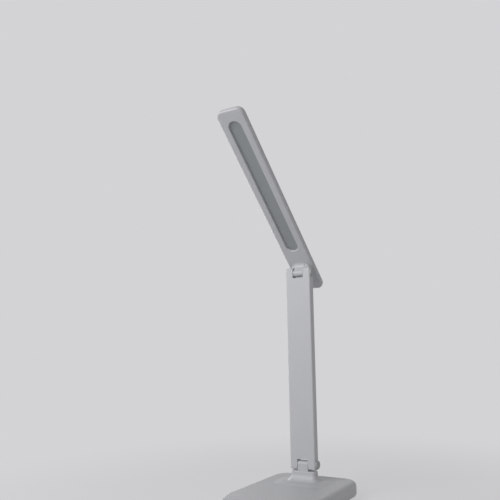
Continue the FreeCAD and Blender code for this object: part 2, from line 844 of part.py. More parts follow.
board = box(
    ("board_width", "board_depth", "board_thickness"),
    ("-board_width / 2", f"{BOARD_Y} - board_depth / 2", BOARD_LOW),
)
board_holes = [
    cylinder(SMALL_PILOT, "board_thickness", (x, y, BOARD_LOW))
    for x, y in board_screw_places()
]
keep(cut(board, board_holes), "control_board")

board_screws = [
    screw((x, y, BOARD_TOP), "board_thickness + board_lift - tip_gap", size="small_screw", head_first=True)
    for x, y in board_screw_places()
]
keep(group(board_screws), "board_screws")

chip = box(
    ("chip_width", "chip_width", "chip_height"),
    ("-board_width / 4 - chip_width / 2", f"{BOARD_Y} - chip_width / 2", BOARD_TOP),
)
coil = cylinder("coil_radius", "coil_height", ("board_width / 4", BOARD_Y, BOARD_TOP))
capacitor = cylinder(
    "capacitor_radius", "capacitor_height", ("0", f"{BOARD_Y} - board_depth / 4", BOARD_TOP)
)
plug_block = box(
    ("plug_width", "plug_depth", "plug_height"),
    ("-plug_width / 2", f"{BOARD_BACK} - plug_depth", BOARD_TOP),
)
keep(group([chip, coil, capacitor, plug_block]), "driver_parts")


def make_lead(name, start_plane, radius, bend, start, corner, end):
    """Round lead in the middle plane: a straight run, one bend and a second straight run."""
    body = new_body(name)
    path = sketch_on(body, "YZ_Plane")
    places = [(value(y), value(z)) for y, z in (start, corner, end)]
    (y0, z0), (y1, z1), (y2, z2) = places
    r = value(bend)
    if start_plane == "XZ_Plane":
        geometry = [line(y0, z0, y1 - r, z1), arc(y1 - r, z1 + r, r, 3, 4), line(y1, z1 + r, y2, z2)]
        joins = [("Tangent", 0, 2, 1, 1), ("Tangent", 1, 2, 2, 1), ("Horizontal", 0), ("Vertical", 2)]
        section = sketch_on(body, "XZ_Plane", y=start[1], z=f"-({start[0]})")
    else:
        geometry = [line(y0, z0, y1, z1 - r), arc(y1 - r, z1 - r, r, 0, 1), line(y1 - r, z1, y2, z2)]
        joins = [("Tangent", 0, 2, 1, 1), ("Tangent", 1, 2, 2, 1), ("Vertical", 0), ("Horizontal", 2)]
        section = sketch_on(body, "XY_Plane", y=start[0], z=start[1])
    path.addGeometry(geometry)
    constrain(path, *joins)
    fix_point(path, 0, 1, *start)
    fix_point(path, 2, 2, *end)
    dimension(path, "Radius", (1,), bend)
    draw_circle(section, radius)
    pipe = body.newObject("PartDesign::AdditivePipe", f"{name}_pipe")
    pipe.Profile = section
    pipe.Spine = (path, [])
    return body


LEAD_Z = f"({BALLAST_TOP} + lead_radius + 2 * seat_play)"
base_lead = make_lead(
    "base_lead_body", "XZ_Plane", "lead_radius", "lead_bend",
    (f"{BOARD_BACK} + seat_play", LEAD_Z),
    (PIN_Y, LEAD_Z),
    (PIN_Y, f"{PIN_Z} - tongue_radius - seat_play"),
)
keep(base_lead, "base_lead")


# Power key

def make_button():
    """Turned key: dished face, shoulder under the shell's wall and a short stem."""
    body = new_body("key_body")
    profile = sketch_on(body, "XZ_Plane")
    shoulder = "-(base_wall + key_play)"
    draw_polygon(profile, (
        ("0", "key_proud - key_dish"),
        ("key_radius - key_bevel", "key_proud"),
        ("key_radius", "key_proud - key_bevel"),
        ("key_radius", shoulder),
        ("key_radius + key_flange", shoulder),
        ("key_radius + key_flange", f"-{KEY_FLANGE_LOW}"),
        ("key_stem_radius", f"-{KEY_FLANGE_LOW}"),
        ("key_stem_radius", f"-{PLUNGER_TOP}"),
        ("0", f"-{PLUNGER_TOP}"),
    ))
    turned = body.newObject("PartDesign::Revolution", "key_turned")
    turned.Profile = profile
    turned.ReferenceAxis = (profile, ["V_Axis"])
    turned.Angle = 360
    return body


keep(on_slope(make_button()), "power_button")

plunger = cylinder("plunger_radius", "plunger_length", ("0", "0", f"-{PLUNGER_TOP} - plunger_length"))
keep(on_slope(group([plunger])), "switch_plunger")

switch_block = box(
    ("switch_width", "switch_width", "switch_height"),
    ("-switch_width / 2", "-switch_width / 2", f"-{KEY_BOARD_TOP}"),
)
switch_well = cylinder(
    "plunger_radius + 2 * pin_play",
    "switch_height - switch_floor",
    ("0", "0", f"switch_floor - {KEY_BOARD_TOP}"),
)
keep(on_slope(cut(switch_block, [switch_well])), "tact_switch")

key_plate = box(
    ("key_board_width", "key_board_depth", "key_board_thickness"),
    ("-key_board_width / 2", "-key_board_depth / 2", f"-{KEY_BOARD_LOW}"),
)
key_plate_holes = [
    cylinder(SMALL_PILOT, "key_board_thickness", (x, y, f"-{KEY_BOARD_LOW}"))
    for x, y in mirrored_places("key_post_across", "0")
]
keep(on_slope(cut(key_plate, key_plate_holes)), "key_board")

key_screws = [
    screw((x, y, f"-{KEY_BOARD_LOW}"), f"{KEY_BOARD_LOW} - base_wall - tip_gap", size="small_screw")
    for x, y in mirrored_places("key_post_across", "0")
]
keep(on_slope(group(key_screws)), "key_board_screws")


# Supply socket

def make_inlet():
    """Drawn metal shell of the socket, open to the back."""
    body = new_body("inlet_body")
    outer = sketch_on(body, "XZ_Plane", y=INLET_Z, z=f"-{INLET_MOUTH}")
    draw_rounded_rectangle(outer, "inlet_width", "inlet_height", INLET_CORNER)
    pad(body, outer, "inlet_length")
    inner = sketch_on(body, "XZ_Plane", y=INLET_Z, z=f"-{INLET_MOUTH}")
    draw_rounded_rectangle(
        inner,
        "inlet_width - 2 * inlet_wall",
        "inlet_height - 2 * inlet_wall",
        f"{INLET_CORNER} - inlet_wall",
    )
    pocket(body, inner, "inlet_length - inlet_back", backward=True)
    return body


keep(make_inlet(), "power_inlet")

blade = box(
    ("blade_width", "blade_length", "blade_thickness"),
    ("-blade_width / 2", f"{INLET_MOUTH} - inlet_length + inlet_back", f"{INLET_Z} - blade_thickness / 2"),
)
keep(group([blade]), "inlet_tongue")

inlet_plate = box(
    ("inlet_board_width", "inlet_board_depth", "inlet_board_thickness"),
    ("-inlet_board_width / 2", f"{INLET_BOARD_Y} - inlet_board_depth / 2", INLET_BOARD_LOW),
)
inlet_plate_holes = [
    cylinder(SMALL_PILOT, "inlet_board_thickness", (x, y, INLET_BOARD_LOW))
    for x, y in mirrored_places("inlet_screw_across", INLET_BOARD_Y)
]
keep(cut(inlet_plate, inlet_plate_holes), "inlet_board")

inlet_screws = [
    screw((x, y, INLET_BOARD_TOP), "inlet_board_thickness + inlet_board_lift + inlet_thread - tip_gap",
          size="small_screw", head_first=True)
    for x, y in mirrored_places("inlet_screw_across", INLET_BOARD_Y)
]
keep(group(inlet_screws), "inlet_screws")


# Arm, made about the lower hinge pin

def make_arm_shell():
    """Front channel: flat bar with soft ends, a notch at each end, pin holes and a hollow at the back."""
    body = new_body("arm_bar")
    outline = sketch_on(body, "YZ_Plane", y="arm_length / 2")
    draw_rounded_rectangle(outline, "arm_depth", "arm_length + 2 * prong_reach", "prong_round")
    pad(body, outline, "arm_width", symmetric=True)
    side = value("arm_width") / 2
    fillet(body, "arm_edge", lambda edge: abs(abs(edge.CenterOfMass.x) - side) < NEAR)
    past = "(prong_reach + 2 * notch_corner)"
    for middle in (f"(notch_reach - {past}) / 2", f"arm_length - (notch_reach - {past}) / 2"):
        notch = sketch_on(body, "XZ_Plane", y=middle)
        draw_rounded_rectangle(notch, NOTCH_WIDTH, f"notch_reach + {past}", "notch_corner")
        pocket(body, notch, "2 * arm_depth", symmetric=True)
    recess = sketch_on(body, "XZ_Plane", y="arm_length / 2", z="-arm_depth / 2")
    draw_rounded_rectangle(
        recess,
        f"{LID_WIDTH} + 2 * lid_play",
        f"{LID_LENGTH} + 2 * lid_play",
        "lid_corner + lid_play",
    )
    pocket(body, recess, "lid_thickness", backward=True)
    well = sketch_on(body, "XZ_Plane", y="arm_length / 2", z="-arm_depth / 2")
    draw_rounded_rectangle(well, WELL_WIDTH, WELL_LENGTH, "well_corner")
    pocket(body, well, "arm_depth - arm_wall", backward=True)
    solids = [body]
    holes = []
    for x, z in lid_screw_places():
        solids.append(cylinder("lid_boss_radius", f"{LID_SEAT} - {ARM_FLOOR}", (x, ARM_FLOOR, z), "y"))
        holes.append(cylinder(SMALL_PILOT, f"{LID_SEAT} - {LID_BOSS_FLOOR}",
                              (x, LID_BOSS_FLOOR, z), "y"))
    solids.extend(arm_ribs())
    duct_end = "(notch_reach - wire_radius)"
    holes.append(cylinder("wire_pitch / 2 + wire_radius + wire_play", f"arm_length - 2 * {duct_end}",
                          ("0", WIRE_Y, duct_end)))
    for z in ("0", "arm_length"):
        holes.append(cylinder("pin_radius + pin_play", "arm_width", ("-arm_width / 2", "0", z), "x"))
        holes.append(cylinder("nut_radius + pin_play", "nut_recess", ("-arm_width / 2", "0", z), "x"))
        holes.append(cylinder("pin_head_radius + pin_play", f"arm_width / 2 - {PIN_HEAD_INNER}",
                              (PIN_HEAD_INNER, "0", z), "x"))
        holes.append(cylinder(f"{CAP_RADIUS} + pin_play", "cap_seat", (CAP_INNER, "0", z), "x"))
    return cut(fuse(solids), holes)


def arm_ribs():
    """Pairs of ribs from the channel's side walls to the stiffener, spaced evenly from the middle."""
    inner = f"({STIFFENER_WIDTH} / 2 + stiffener_side_gap)"
    size = (
        f"{WELL_WIDTH} / 2 + lid_ledge / 2 - {inner}",
        f"{LID_SEAT} - rib_drop - {ARM_FLOOR}",
        "rib_thickness",
    )
    pairs = int(value(f"{WELL_LENGTH} / 2 - rib_thickness") // value("rib_pitch"))
    ribs = []
    for number in range(-pairs, pairs + 1):
        z = f"arm_length / 2 + {number} * rib_pitch - rib_thickness / 2"
        for x in (inner, f"-{WELL_WIDTH} / 2 - lid_ledge / 2"):
            ribs.append(box(size, (x, ARM_FLOOR, z)))
    return ribs


def lid_screw_places():
    """The four places where the arm's lid is screwed on."""
    rows = ("lid_end + lid_screw_end", "arm_length - lid_end - lid_screw_end")
    return [place for z in rows for place in mirrored_places(LID_SCREW_ACROSS, z)]


keep(on_arm(make_arm_shell()), "arm_front_shell")

lid = new_body("lid_plate")
lid_plan = sketch_on(lid, "XZ_Plane", y="arm_length / 2", z="-arm_depth / 2")
draw_rounded_rectangle(lid_plan, LID_WIDTH, LID_LENGTH, "lid_corner")
pad(lid, lid_plan, "lid_thickness")
lid_holes = []
for screw_x, screw_z in lid_screw_places():
    lid_holes.append(cylinder(SMALL_PILOT, "lid_thickness",
                              (screw_x, LID_SEAT, screw_z), "y"))
    lid_holes.append(cylinder("small_screw_head_radius + thread_play", f"arm_depth / 2 - {LID_HEAD_SEAT}",
                              (screw_x, LID_HEAD_SEAT, screw_z), "y"))
keep(on_arm(cut(lid, lid_holes)), "arm_rear_cover")

arm_screws = []
for screw_x, screw_z in lid_screw_places():
    shank_length = f"{LID_HEAD_SEAT} - {LID_BOSS_FLOOR} - tip_gap"
    arm_screws.append(screw((screw_x, LID_HEAD_SEAT, screw_z), shank_length,
                            size="small_screw", along="y", head_first=True))
keep(on_arm(group(arm_screws)), "arm_screws")

strip = box(
    (STIFFENER_WIDTH, "stiffener_thickness", STIFFENER_LENGTH),
    (f"-{STIFFENER_WIDTH} / 2", ARM_FLOOR, f"(arm_length - {STIFFENER_LENGTH}) / 2"),
)
keep(on_arm(group([strip])), "arm_stiffener")

WIRE_END = "(notch_reach + seat_play)"
wires = [
    cylinder("wire_radius", f"arm_length - 2 * {WIRE_END}", (x, WIRE_Y, WIRE_END))
    for (x,) in mirrored_places("wire_pitch")
]
keep(on_arm(group(wires)), "arm_lead")


# Hinge hardware, the same at both ends of the arm

def make_hinge(end, height):
    """Pin with its head, cap over the head, nut at the other end, and washers beside the tongue."""
    shaft = cylinder("pin_radius", f"{NUT_INNER} + nut_length + {PIN_HEAD_INNER}",
                     (f"-{NUT_INNER} - nut_length", "0", height), "x")
    head = cylinder("pin_head_radius", "pin_head_length", (PIN_HEAD_INNER, "0", height), "x")
    keep(on_arm(fuse([shaft, head])), f"{end}_hinge_pin")

    cap = new_body(f"{end}_cap_body")
    face = sketch_on(cap, "YZ_Plane", y=height, z=CAP_INNER)
    draw_circle(face, CAP_RADIUS)
    pad(cap, face, "cap_seat + cap_proud")
    crown = value("arm_width / 2 + cap_proud")
    fillet(cap, "cap_round", lambda edge: abs(edge.CenterOfMass.x - crown) < NEAR)
    keep(on_arm(cap), f"{end}_pin_cap")

    blank = doc.addObject("Part::Prism", "nut_blank")
    blank.Polygon = 6
    blank.Placement.Rotation = FreeCAD.Rotation(FreeCAD.Vector(0, 1, 0), 90)
    bind(blank, "Circumradius", "nut_radius")
    bind(blank, "Height", "nut_length")
    nut_place = (f"-{NUT_INNER} - nut_length", "0", height)
    move(blank, nut_place)
    thread = cylinder("pin_radius + thread_play", "nut_length", nut_place, "x")
    keep(on_arm(cut(blank, [thread])), f"{end}_pin_nut")

    washers = []
    for x in (f"{NOTCH_WALL} - washer_thickness", f"-{NOTCH_WALL}"):
        disc = cylinder("washer_radius", "washer_thickness", (x, "0", height), "x")
        hole = cylinder("pin_radius + thread_play", "washer_thickness", (x, "0", height), "x")
        washers.append(cut(disc, [hole]))
    keep(on_arm(group(washers)), f"{end}_friction_washers")


make_hinge("lower", "0")
make_hinge("upper", "arm_length")


# Head, made about the upper hinge pin with the slab level

def head_outline(body, low, inset):
    """Plan of the head, evenly smaller than the outside by `inset`, as a sketch at a height."""
    sketch = sketch_on(body, "XY_Plane", y=HEAD_MIDDLE, z=low)
    draw_rounded_rectangle(
        sketch,
        f"head_width - 2 * ({inset})",
        f"{HEAD_LENGTH} - 2 * ({inset})",
        f"head_corner - ({inset})",
    )
    return sketch


def make_lower_frame():
    """Tray with the long window in its floor, a soft lip round it, rails for the plate and a rebated rim."""
    body = new_body("frame_tray")
    pad(body, head_outline(body, "head_rise", "0"), f"{FRAME_TOP} - head_seam - head_rise")
    fillet(body, "head_edge", level_with("head_rise"))
    pocket(body, head_outline(body, FLOOR_TOP, "head_wall"), f"{FRAME_TOP} - {FLOOR_TOP}", backward=True)
    pocket(body, head_outline(body, LAP_FLOOR, "head_wall - lap_thickness"), "lap_depth", backward=True)
    window = sketch_on(body, "XY_Plane", y=WINDOW_MIDDLE, z="head_rise")
    draw_obround(window, "window_width", WINDOW_LENGTH)
    pocket(body, window, "frame_floor", backward=True)
    doc.recompute()
    at_floor = level_with("head_rise")
    by_window = inside_box("window_width / 2", f"-{WINDOW_FAR}", "-window_near")
    fillet(body, "window_lip", lambda edge: at_floor(edge) and by_window(edge))
    rail_length = f"({WINDOW_LENGTH} - window_width)"
    rail_inner = "(window_width / 2 + diffuser_margin + diffuser_play)"
    rails = [
        box(("rail_thickness", rail_length, "frame_floor / 2 + rail_height"),
            (x, f"{WINDOW_MIDDLE} - {rail_length} / 2", f"{FLOOR_TOP} - frame_floor / 2"))
        for x in (rail_inner, f"-{rail_inner} - rail_thickness")
    ]
    holes = [
        cylinder(SMALL_PILOT, "frame_floor", (x, y, "head_rise"))
        for x, y in mirrored_places("lug_screw_across", "0")
    ]
    holes.append(cylinder("wire_radius + wire_play", "frame_floor", ("0", "0", "head_rise")))
    return cut(fuse([body, *rails]), holes)


keep(on_head(make_lower_frame()), "head_lower_frame")

cover = new_body("cover_tray")
LAP_LOW = f"({LAP_FLOOR} + lap_play)"
pad(cover, head_outline(cover, FRAME_TOP, "0"), "cover_height")
fillet(cover, "head_edge", level_with(HEAD_TOP))
pad(cover, head_outline(cover, LAP_LOW, "head_wall - lap_thickness + lap_play"), f"{FRAME_TOP} - {LAP_LOW}")
pocket(cover, head_outline(cover, LAP_LOW, "head_wall"), f"{HEAD_CEILING} - {LAP_LOW}", backward=True)
keep(on_head(cover), "head_upper_cover")

opal = new_body("opal_plate")
opal_plan = sketch_on(opal, "XY_Plane", y=WINDOW_MIDDLE, z=FLOOR_TOP)
draw_obround(opal_plan, "window_width + 2 * diffuser_margin", f"{WINDOW_LENGTH} + 2 * diffuser_margin")
pad(opal, opal_plan, "diffuser_thickness")
keep(on_head(opal), "diffuser")

led_strip = box(
    ("led_board_width", LED_BOARD_LENGTH, "led_board_thickness"),
    ("-led_board_width / 2", f"{WINDOW_MIDDLE} - {LED_BOARD_LENGTH} / 2", LED_BOARD_LOW),
)
keep(on_head(group([led_strip])), "led_board")

led_steps = int(value(f"{LED_BOARD_LENGTH} - 2 * led_margin - led_length") // value("led_pitch"))
led_chips = []
for number in range(led_steps + 1):
    step = number - led_steps / 2
    led_chips.append(box(
        ("led_width", "led_length", "led_height"),
        ("-led_width / 2", f"{WINDOW_MIDDLE} - led_length / 2 + {step} * led_pitch",
         f"{LED_BOARD_LOW} - led_height"),
    ))
keep(on_head(group(led_chips)), "led_chips")


def make_lug():
    """Tongue under the head: round end about the pin, straight stem and a foot plate against the frame."""
    body = new_body("lug_body")
    stem = sketch_on(body, "YZ_Plane")
    draw_tongue(stem, "head_rise - lug_foot_thickness / 2")
    stem.AttachmentOffset.Rotation = FreeCAD.Rotation(FreeCAD.Vector(0, 0, 1), 180)
    pad(body, stem, "tongue_width", symmetric=True)
    foot = sketch_on(body, "XY_Plane", z="head_rise - lug_foot_thickness")
    draw_rounded_rectangle(foot, "tongue_width", "lug_foot_length", "lug_foot_corner")
    pad(body, foot, "lug_foot_thickness")
    depth = f"head_rise - {LUG_BORE_LOW}"
    holes = [
        cylinder(SMALL_PILOT, depth, (x, y, LUG_BORE_LOW))
        for x, y in mirrored_places("lug_screw_across", "0")
    ]
    holes.append(cylinder("wire_radius + wire_play", depth, ("0", "0", LUG_BORE_LOW)))
    return cut(body, holes)


keep(on_head(make_lug()), "hinge_lug")

lug_screws = [
    screw((x, y, FLOOR_TOP), f"{FLOOR_TOP} - {LUG_BORE_LOW} - tip_gap", size="small_screw", head_first=True)
    for x, y in mirrored_places("lug_screw_across", "0")
]
keep(on_head(group(lug_screws)), "lug_screws")

HEAD_LEAD_Z = f"({LED_BOARD_LOW} - wire_radius - seat_play)"
head_lead = make_lead(
    "head_lead_body", "XY_Plane", "wire_radius", "head_lead_bend",
    ("0", f"{LUG_BORE_LOW} + seat_play"),
    ("0", HEAD_LEAD_Z),
    (f"{LED_BOARD_NEAR} - head_lead_lap", HEAD_LEAD_Z),
)
keep(on_head(head_lead), "head_lead")


# Check the model and write every sub-part

doc.recompute()
for thing in doc.Objects:
    if "Invalid" in thing.State or "Error" in thing.State:
        raise ValueError(f"{thing.Label} failed: {thing.State}")
for node in nodes:
    if node.Shape.isNull() or not node.Shape.isValid():
        raise ValueError(f"{node.Label} has no valid shape")
os.makedirs("parts", exist_ok=True)
for node in nodes:
    node.Shape.exportStep(f"parts/{node.Label}.step")
    print(node.Label, len(node.Shape.Solids), round(node.Shape.Volume, 1))
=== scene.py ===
"""Looks of a folding desk lamp: weighted base, forked arm and slab head, in white plastic."""

import json
import logging
import math
from collections.abc import Callable, Iterable, Mapping
from dataclasses import dataclass
from enum import Enum
from typing import Any

import bmesh
import bpy
from mathutils import Matrix, Vector


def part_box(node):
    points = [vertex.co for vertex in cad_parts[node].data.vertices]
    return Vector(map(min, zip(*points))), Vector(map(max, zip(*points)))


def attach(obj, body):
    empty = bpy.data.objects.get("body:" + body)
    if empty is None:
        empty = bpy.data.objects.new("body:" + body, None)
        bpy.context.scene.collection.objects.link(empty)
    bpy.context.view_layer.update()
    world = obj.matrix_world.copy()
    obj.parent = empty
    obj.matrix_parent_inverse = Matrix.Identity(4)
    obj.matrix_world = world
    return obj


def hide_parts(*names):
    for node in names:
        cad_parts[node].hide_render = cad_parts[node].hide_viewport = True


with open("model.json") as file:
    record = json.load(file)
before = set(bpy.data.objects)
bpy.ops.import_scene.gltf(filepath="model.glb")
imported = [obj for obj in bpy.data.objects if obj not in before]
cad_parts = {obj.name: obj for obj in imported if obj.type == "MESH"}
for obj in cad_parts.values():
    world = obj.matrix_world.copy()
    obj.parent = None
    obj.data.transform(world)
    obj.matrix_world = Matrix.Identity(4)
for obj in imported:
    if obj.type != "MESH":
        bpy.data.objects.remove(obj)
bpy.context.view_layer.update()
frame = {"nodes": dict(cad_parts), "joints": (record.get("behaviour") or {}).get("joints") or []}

LOG = logging.getLogger("desk_lamp")
MM = 0.001
PHOTO_SIDE = 500
# Corners this close become one corner when two forms are fused.
WELD = 0.005 * MM
# On pieces with fine grooves, edges from this angle up are drawn sharp.
GROOVED_SHARP = 25.0
# The sRGB curve: a straight stretch near black, and a power curve above its knee.
SRGB_KNEE, SRGB_SLOPE, SRGB_LIFT, SRGB_POWER = 0.04045, 12.92, 0.055, 2.4
# Colour sockets of Blender's mix node, by number, because others there share their names.
MIX_FACTOR, MIX_FIRST, MIX_SECOND, MIX_COLOUR = 0, 6, 7, 2

Form = bmesh.types.BMesh
Corner = bmesh.types.BMVert
Tree = bpy.types.NodeTree
Node = bpy.types.Node
Socket = bpy.types.NodeSocket
Profile = list[tuple[float, float]]


def joint(name: str) -> Mapping[str, Any]:
    """Joint of the frame by its name."""
    return next(found for found in frame["joints"] if found["name"] == name)


def linear(hex_colour: str) -> tuple[float, float, float, float]:
    """Turn an sRGB hex colour into linear light.

    Args:
        hex_colour: Colour written as "#RRGGBB".

    Returns:
        Linear red, green and blue, and an alpha of one.
    """
    shares = (int(hex_colour[start:start + 2], 16) / 255 for start in (1, 3, 5))
    red, green, blue = (
        share / SRGB_SLOPE if share <= SRGB_KNEE
        else ((share + SRGB_LIFT) / (1 + SRGB_LIFT)) ** SRGB_POWER
        for share in shares
    )
    return red, green, blue, 1.0


def per_metre(size_mm: float) -> float:
    """Texture scale, in repeats per metre, of a pattern with features of this size."""
    return 1.0 / (size_mm * MM)


def add_node(
    tree: Tree,
    kind: str,
    settings: Mapping[str | int, Any] | None = None,
    links: Mapping[str | int, Socket] | None = None,
) -> Node:
    """Add one node with its settings and links.

    Args:
        tree: Node tree that takes the node.
        kind: Blender's name of the node type.
        settings: Values by property name, or by input socket name or number.
        links: Output sockets of other nodes by input socket name or number.

    Returns:
        The new node.
    """
    node = tree.nodes.new(kind)
    for key, value in (settings or {}).items():
        if isinstance(key, str) and hasattr(node, key):
            setattr(node, key, value)
        else:
            node.inputs[key].default_value = value
    for key, source in (links or {}).items():
        tree.links.new(source, node.inputs[key])
    return node


def bare_tree(owner: bpy.types.Material | bpy.types.World) -> Tree:
    """Switch a material or a world to nodes.

    Args:
        owner: The material or world.

    Returns:
        Its node tree, emptied.
    """
    owner.use_nodes = True
    owner.node_tree.nodes.clear()
    return owner.node_tree


@dataclass(frozen=True)
class Finish:
    """A surface finish: what it is made of, its colour and how it answers light."""

    name: str
    colour: str
    roughness: float
    ior: float = 1.5
    metallic: float = 0.0

    def material(self) -> bpy.types.Material:
        """Make the material on first use, and find it again after that.

        Returns:
            The Blender material.
        """
        found = bpy.data.materials.get(self.name)
        if found:
            return found
        made = bpy.data.materials.new(self.name)
        tree = bare_tree(made)
        place = add_node(tree, "ShaderNodeTexCoord").outputs["Object"]
        constants = {
            "Base Color": linear(self.colour),
            "Roughness": self.roughness,
            "Metallic": self.metallic,
        }
        if not self.metallic:
            constants["IOR"] = self.ior
        shader = add_node(tree, "ShaderNodeBsdfPrincipled", constants)
        add_node(tree, "ShaderNodeOutputMaterial", links={"Surface": shader.outputs[0]})
        self.detail(tree, shader, place)
        return made

    def detail(self, tree: Tree, shader: Node, place: Socket) -> None:
        """Add what the eye finds in the surface; each kind of finish says what that is."""

    def relief(
        self, tree: Tree, shader: Node, height: Socket, depth_mm: float, strength: float
    ) -> None:
        """Raise the surface by a pattern.

        Args:
            tree: Node tree of the material.
            shader: Surface shader that takes the normal.
            height: Pattern from 0 to 1.
            depth_mm: Height of the pattern in millimetres.
            strength: Share of the relief that is shown.
        """
        bump = add_node(
            tree,
            "ShaderNodeBump",
            {"Strength": strength, "Distance": depth_mm * MM},
            {"Height": height},
        )
        tree.links.new(bump.outputs["Normal"], shader.inputs["Normal"])

    def uneven_gloss(self, tree: Tree, shader: Node, pattern: Socket, spread: float) -> None:
        """Let the roughness follow a pattern.

        Args:
            tree: Node tree of the material.
            shader: Surface shader that takes the roughness.
            pattern: Pattern from 0 to 1.
            spread: How far the roughness goes to each side of the finish's own.
        """
        gloss = add_node(
            tree,
            "ShaderNodeMapRange",
            {"To Min": self.roughness - spread, "To Max": self.roughness + spread},
            {"Value": pattern},
        )
        tree.links.new(gloss.outputs["Result"], shader.inputs["Roughness"])


@dataclass(frozen=True)
class MouldedPlastic(Finish):
    """Thermoplastic or rubber, most of it injection moulded in a spark-eroded tool.

    The tool leaves a fine even grain that spreads the gloss, and the melt leaves faint
    clouds in the tone.
    """

    shade: str = "#000000"
    grain_mm: float = 0.5
    grain_depth_mm: float = 0.02
    grain_strength: float = 0.35
    grain_layers: float = 2.0
    grain_fade: float = 0.6
    cloud_mm: float = 22.0
    cloud_layers: float = 3.0
    cloud_fade: float = 0.55
    gloss_spread: float = 0.06

    def detail(self, tree: Tree, shader: Node, place: Socket) -> None:
        """Add the tool's grain, the clouds of the melt and the uneven gloss.

        Args:
            tree: Node tree of the material.
            shader: Surface shader.
            place: Socket with the place on the piece.
        """
        # The tool's real grain is about 0.1 mm, too fine to show, so it is drawn coarser.
        grain = add_node(
            tree,
            "ShaderNodeTexNoise",
            {
                "Scale": per_metre(self.grain_mm),
                "Detail": self.grain_layers,
                "Roughness": self.grain_fade,
            },
            {"Vector": place},
        ).outputs["Fac"]
        self.relief(tree, shader, grain, self.grain_depth_mm, self.grain_strength)
        self.uneven_gloss(tree, shader, grain, self.gloss_spread)
        cloud = add_node(
            tree,
            "ShaderNodeTexNoise",
            {
                "Scale": per_metre(self.cloud_mm),
                "Detail": self.cloud_layers,
                "Roughness": self.cloud_fade,
            },
            {"Vector": place},
        )
        tone = add_node(
            tree,
            "ShaderNodeMix",
            {
                "data_type": "RGBA",
                MIX_FIRST: linear(self.shade),
                MIX_SECOND: linear(self.colour),
            },
            {MIX_FACTOR: cloud.outputs["Fac"]},
        )
        tree.links.new(tone.outputs[MIX_COLOUR], shader.inputs["Base Color"])


@dataclass(frozen=True)
class MilledMetal(Finish):
    """Plain or plated metal, rolled, drawn, stamped or headed.

    The tools leave fine streaks along the part, which stretch the highlights.
    """

    streak_mm: float = 0.3
    streak_length_mm: float = 6.0
    streak_depth_mm: float = 0.01
    streak_strength: float = 0.3
    streak_layers: float = 2.0
    gloss_spread: float = 0.1

    def detail(self, tree: Tree, shader: Node, place: Socket) -> None:
        """Add the streaks to the gloss and the relief.

        Args:
            tree: Node tree of the material.
            shader: Surface shader.
            place: Socket with the place on the piece.
        """
        # Real streaks are under 0.1 mm wide, too fine to show, so they are drawn coarser.
        stretched = add_node(
            tree,
            "ShaderNodeMapping",
            {"Scale": (1.0, 1.0, self.streak_mm / self.streak_length_mm)},
            {"Vector": place},
        )
        streak = add_node(
            tree,
            "ShaderNodeTexNoise",
            {"Scale": per_metre(self.streak_mm), "Detail": self.streak_layers},
            {"Vector": stretched.outputs["Vector"]},
        ).outputs["Fac"]
        self.relief(tree, shader, streak, self.streak_depth_mm, self.streak_strength)
        self.uneven_gloss(tree, shader, streak, self.gloss_spread)


@dataclass(frozen=True)
class WovenLaminate(Finish):
    """Glass cloth in resin under a lacquer.

    The cloth's square weave shows faintly through the lacquer.
    """

    thread: str = "#000000"
    thread_mm: float = 0.8
    thread_depth_mm: float = 0.02
    thread_strength: float = 0.2

    def detail(self, tree: Tree, shader: Node, place: Socket) -> None:
        """Add the weave to the colour and the relief.

        Args:
            tree: Node tree of the material.
            shader: Surface shader.
            place: Socket with the place on the piece.
        """
        # The cloth's real threads are about 0.5 mm apart, and are drawn coarser to show.
        weave = add_node(
            tree,
            "ShaderNodeTexChecker",
            {
                "Scale": per_metre(self.thread_mm),
                "Color1": linear(self.colour),
                "Color2": linear(self.thread),
            },
            {"Vector": place},
        ).outputs
        tree.links.new(weave["Color"], shader.inputs["Base Color"])
        self.relief(tree, shader, weave["Fac"], self.thread_depth_mm, self.thread_strength)


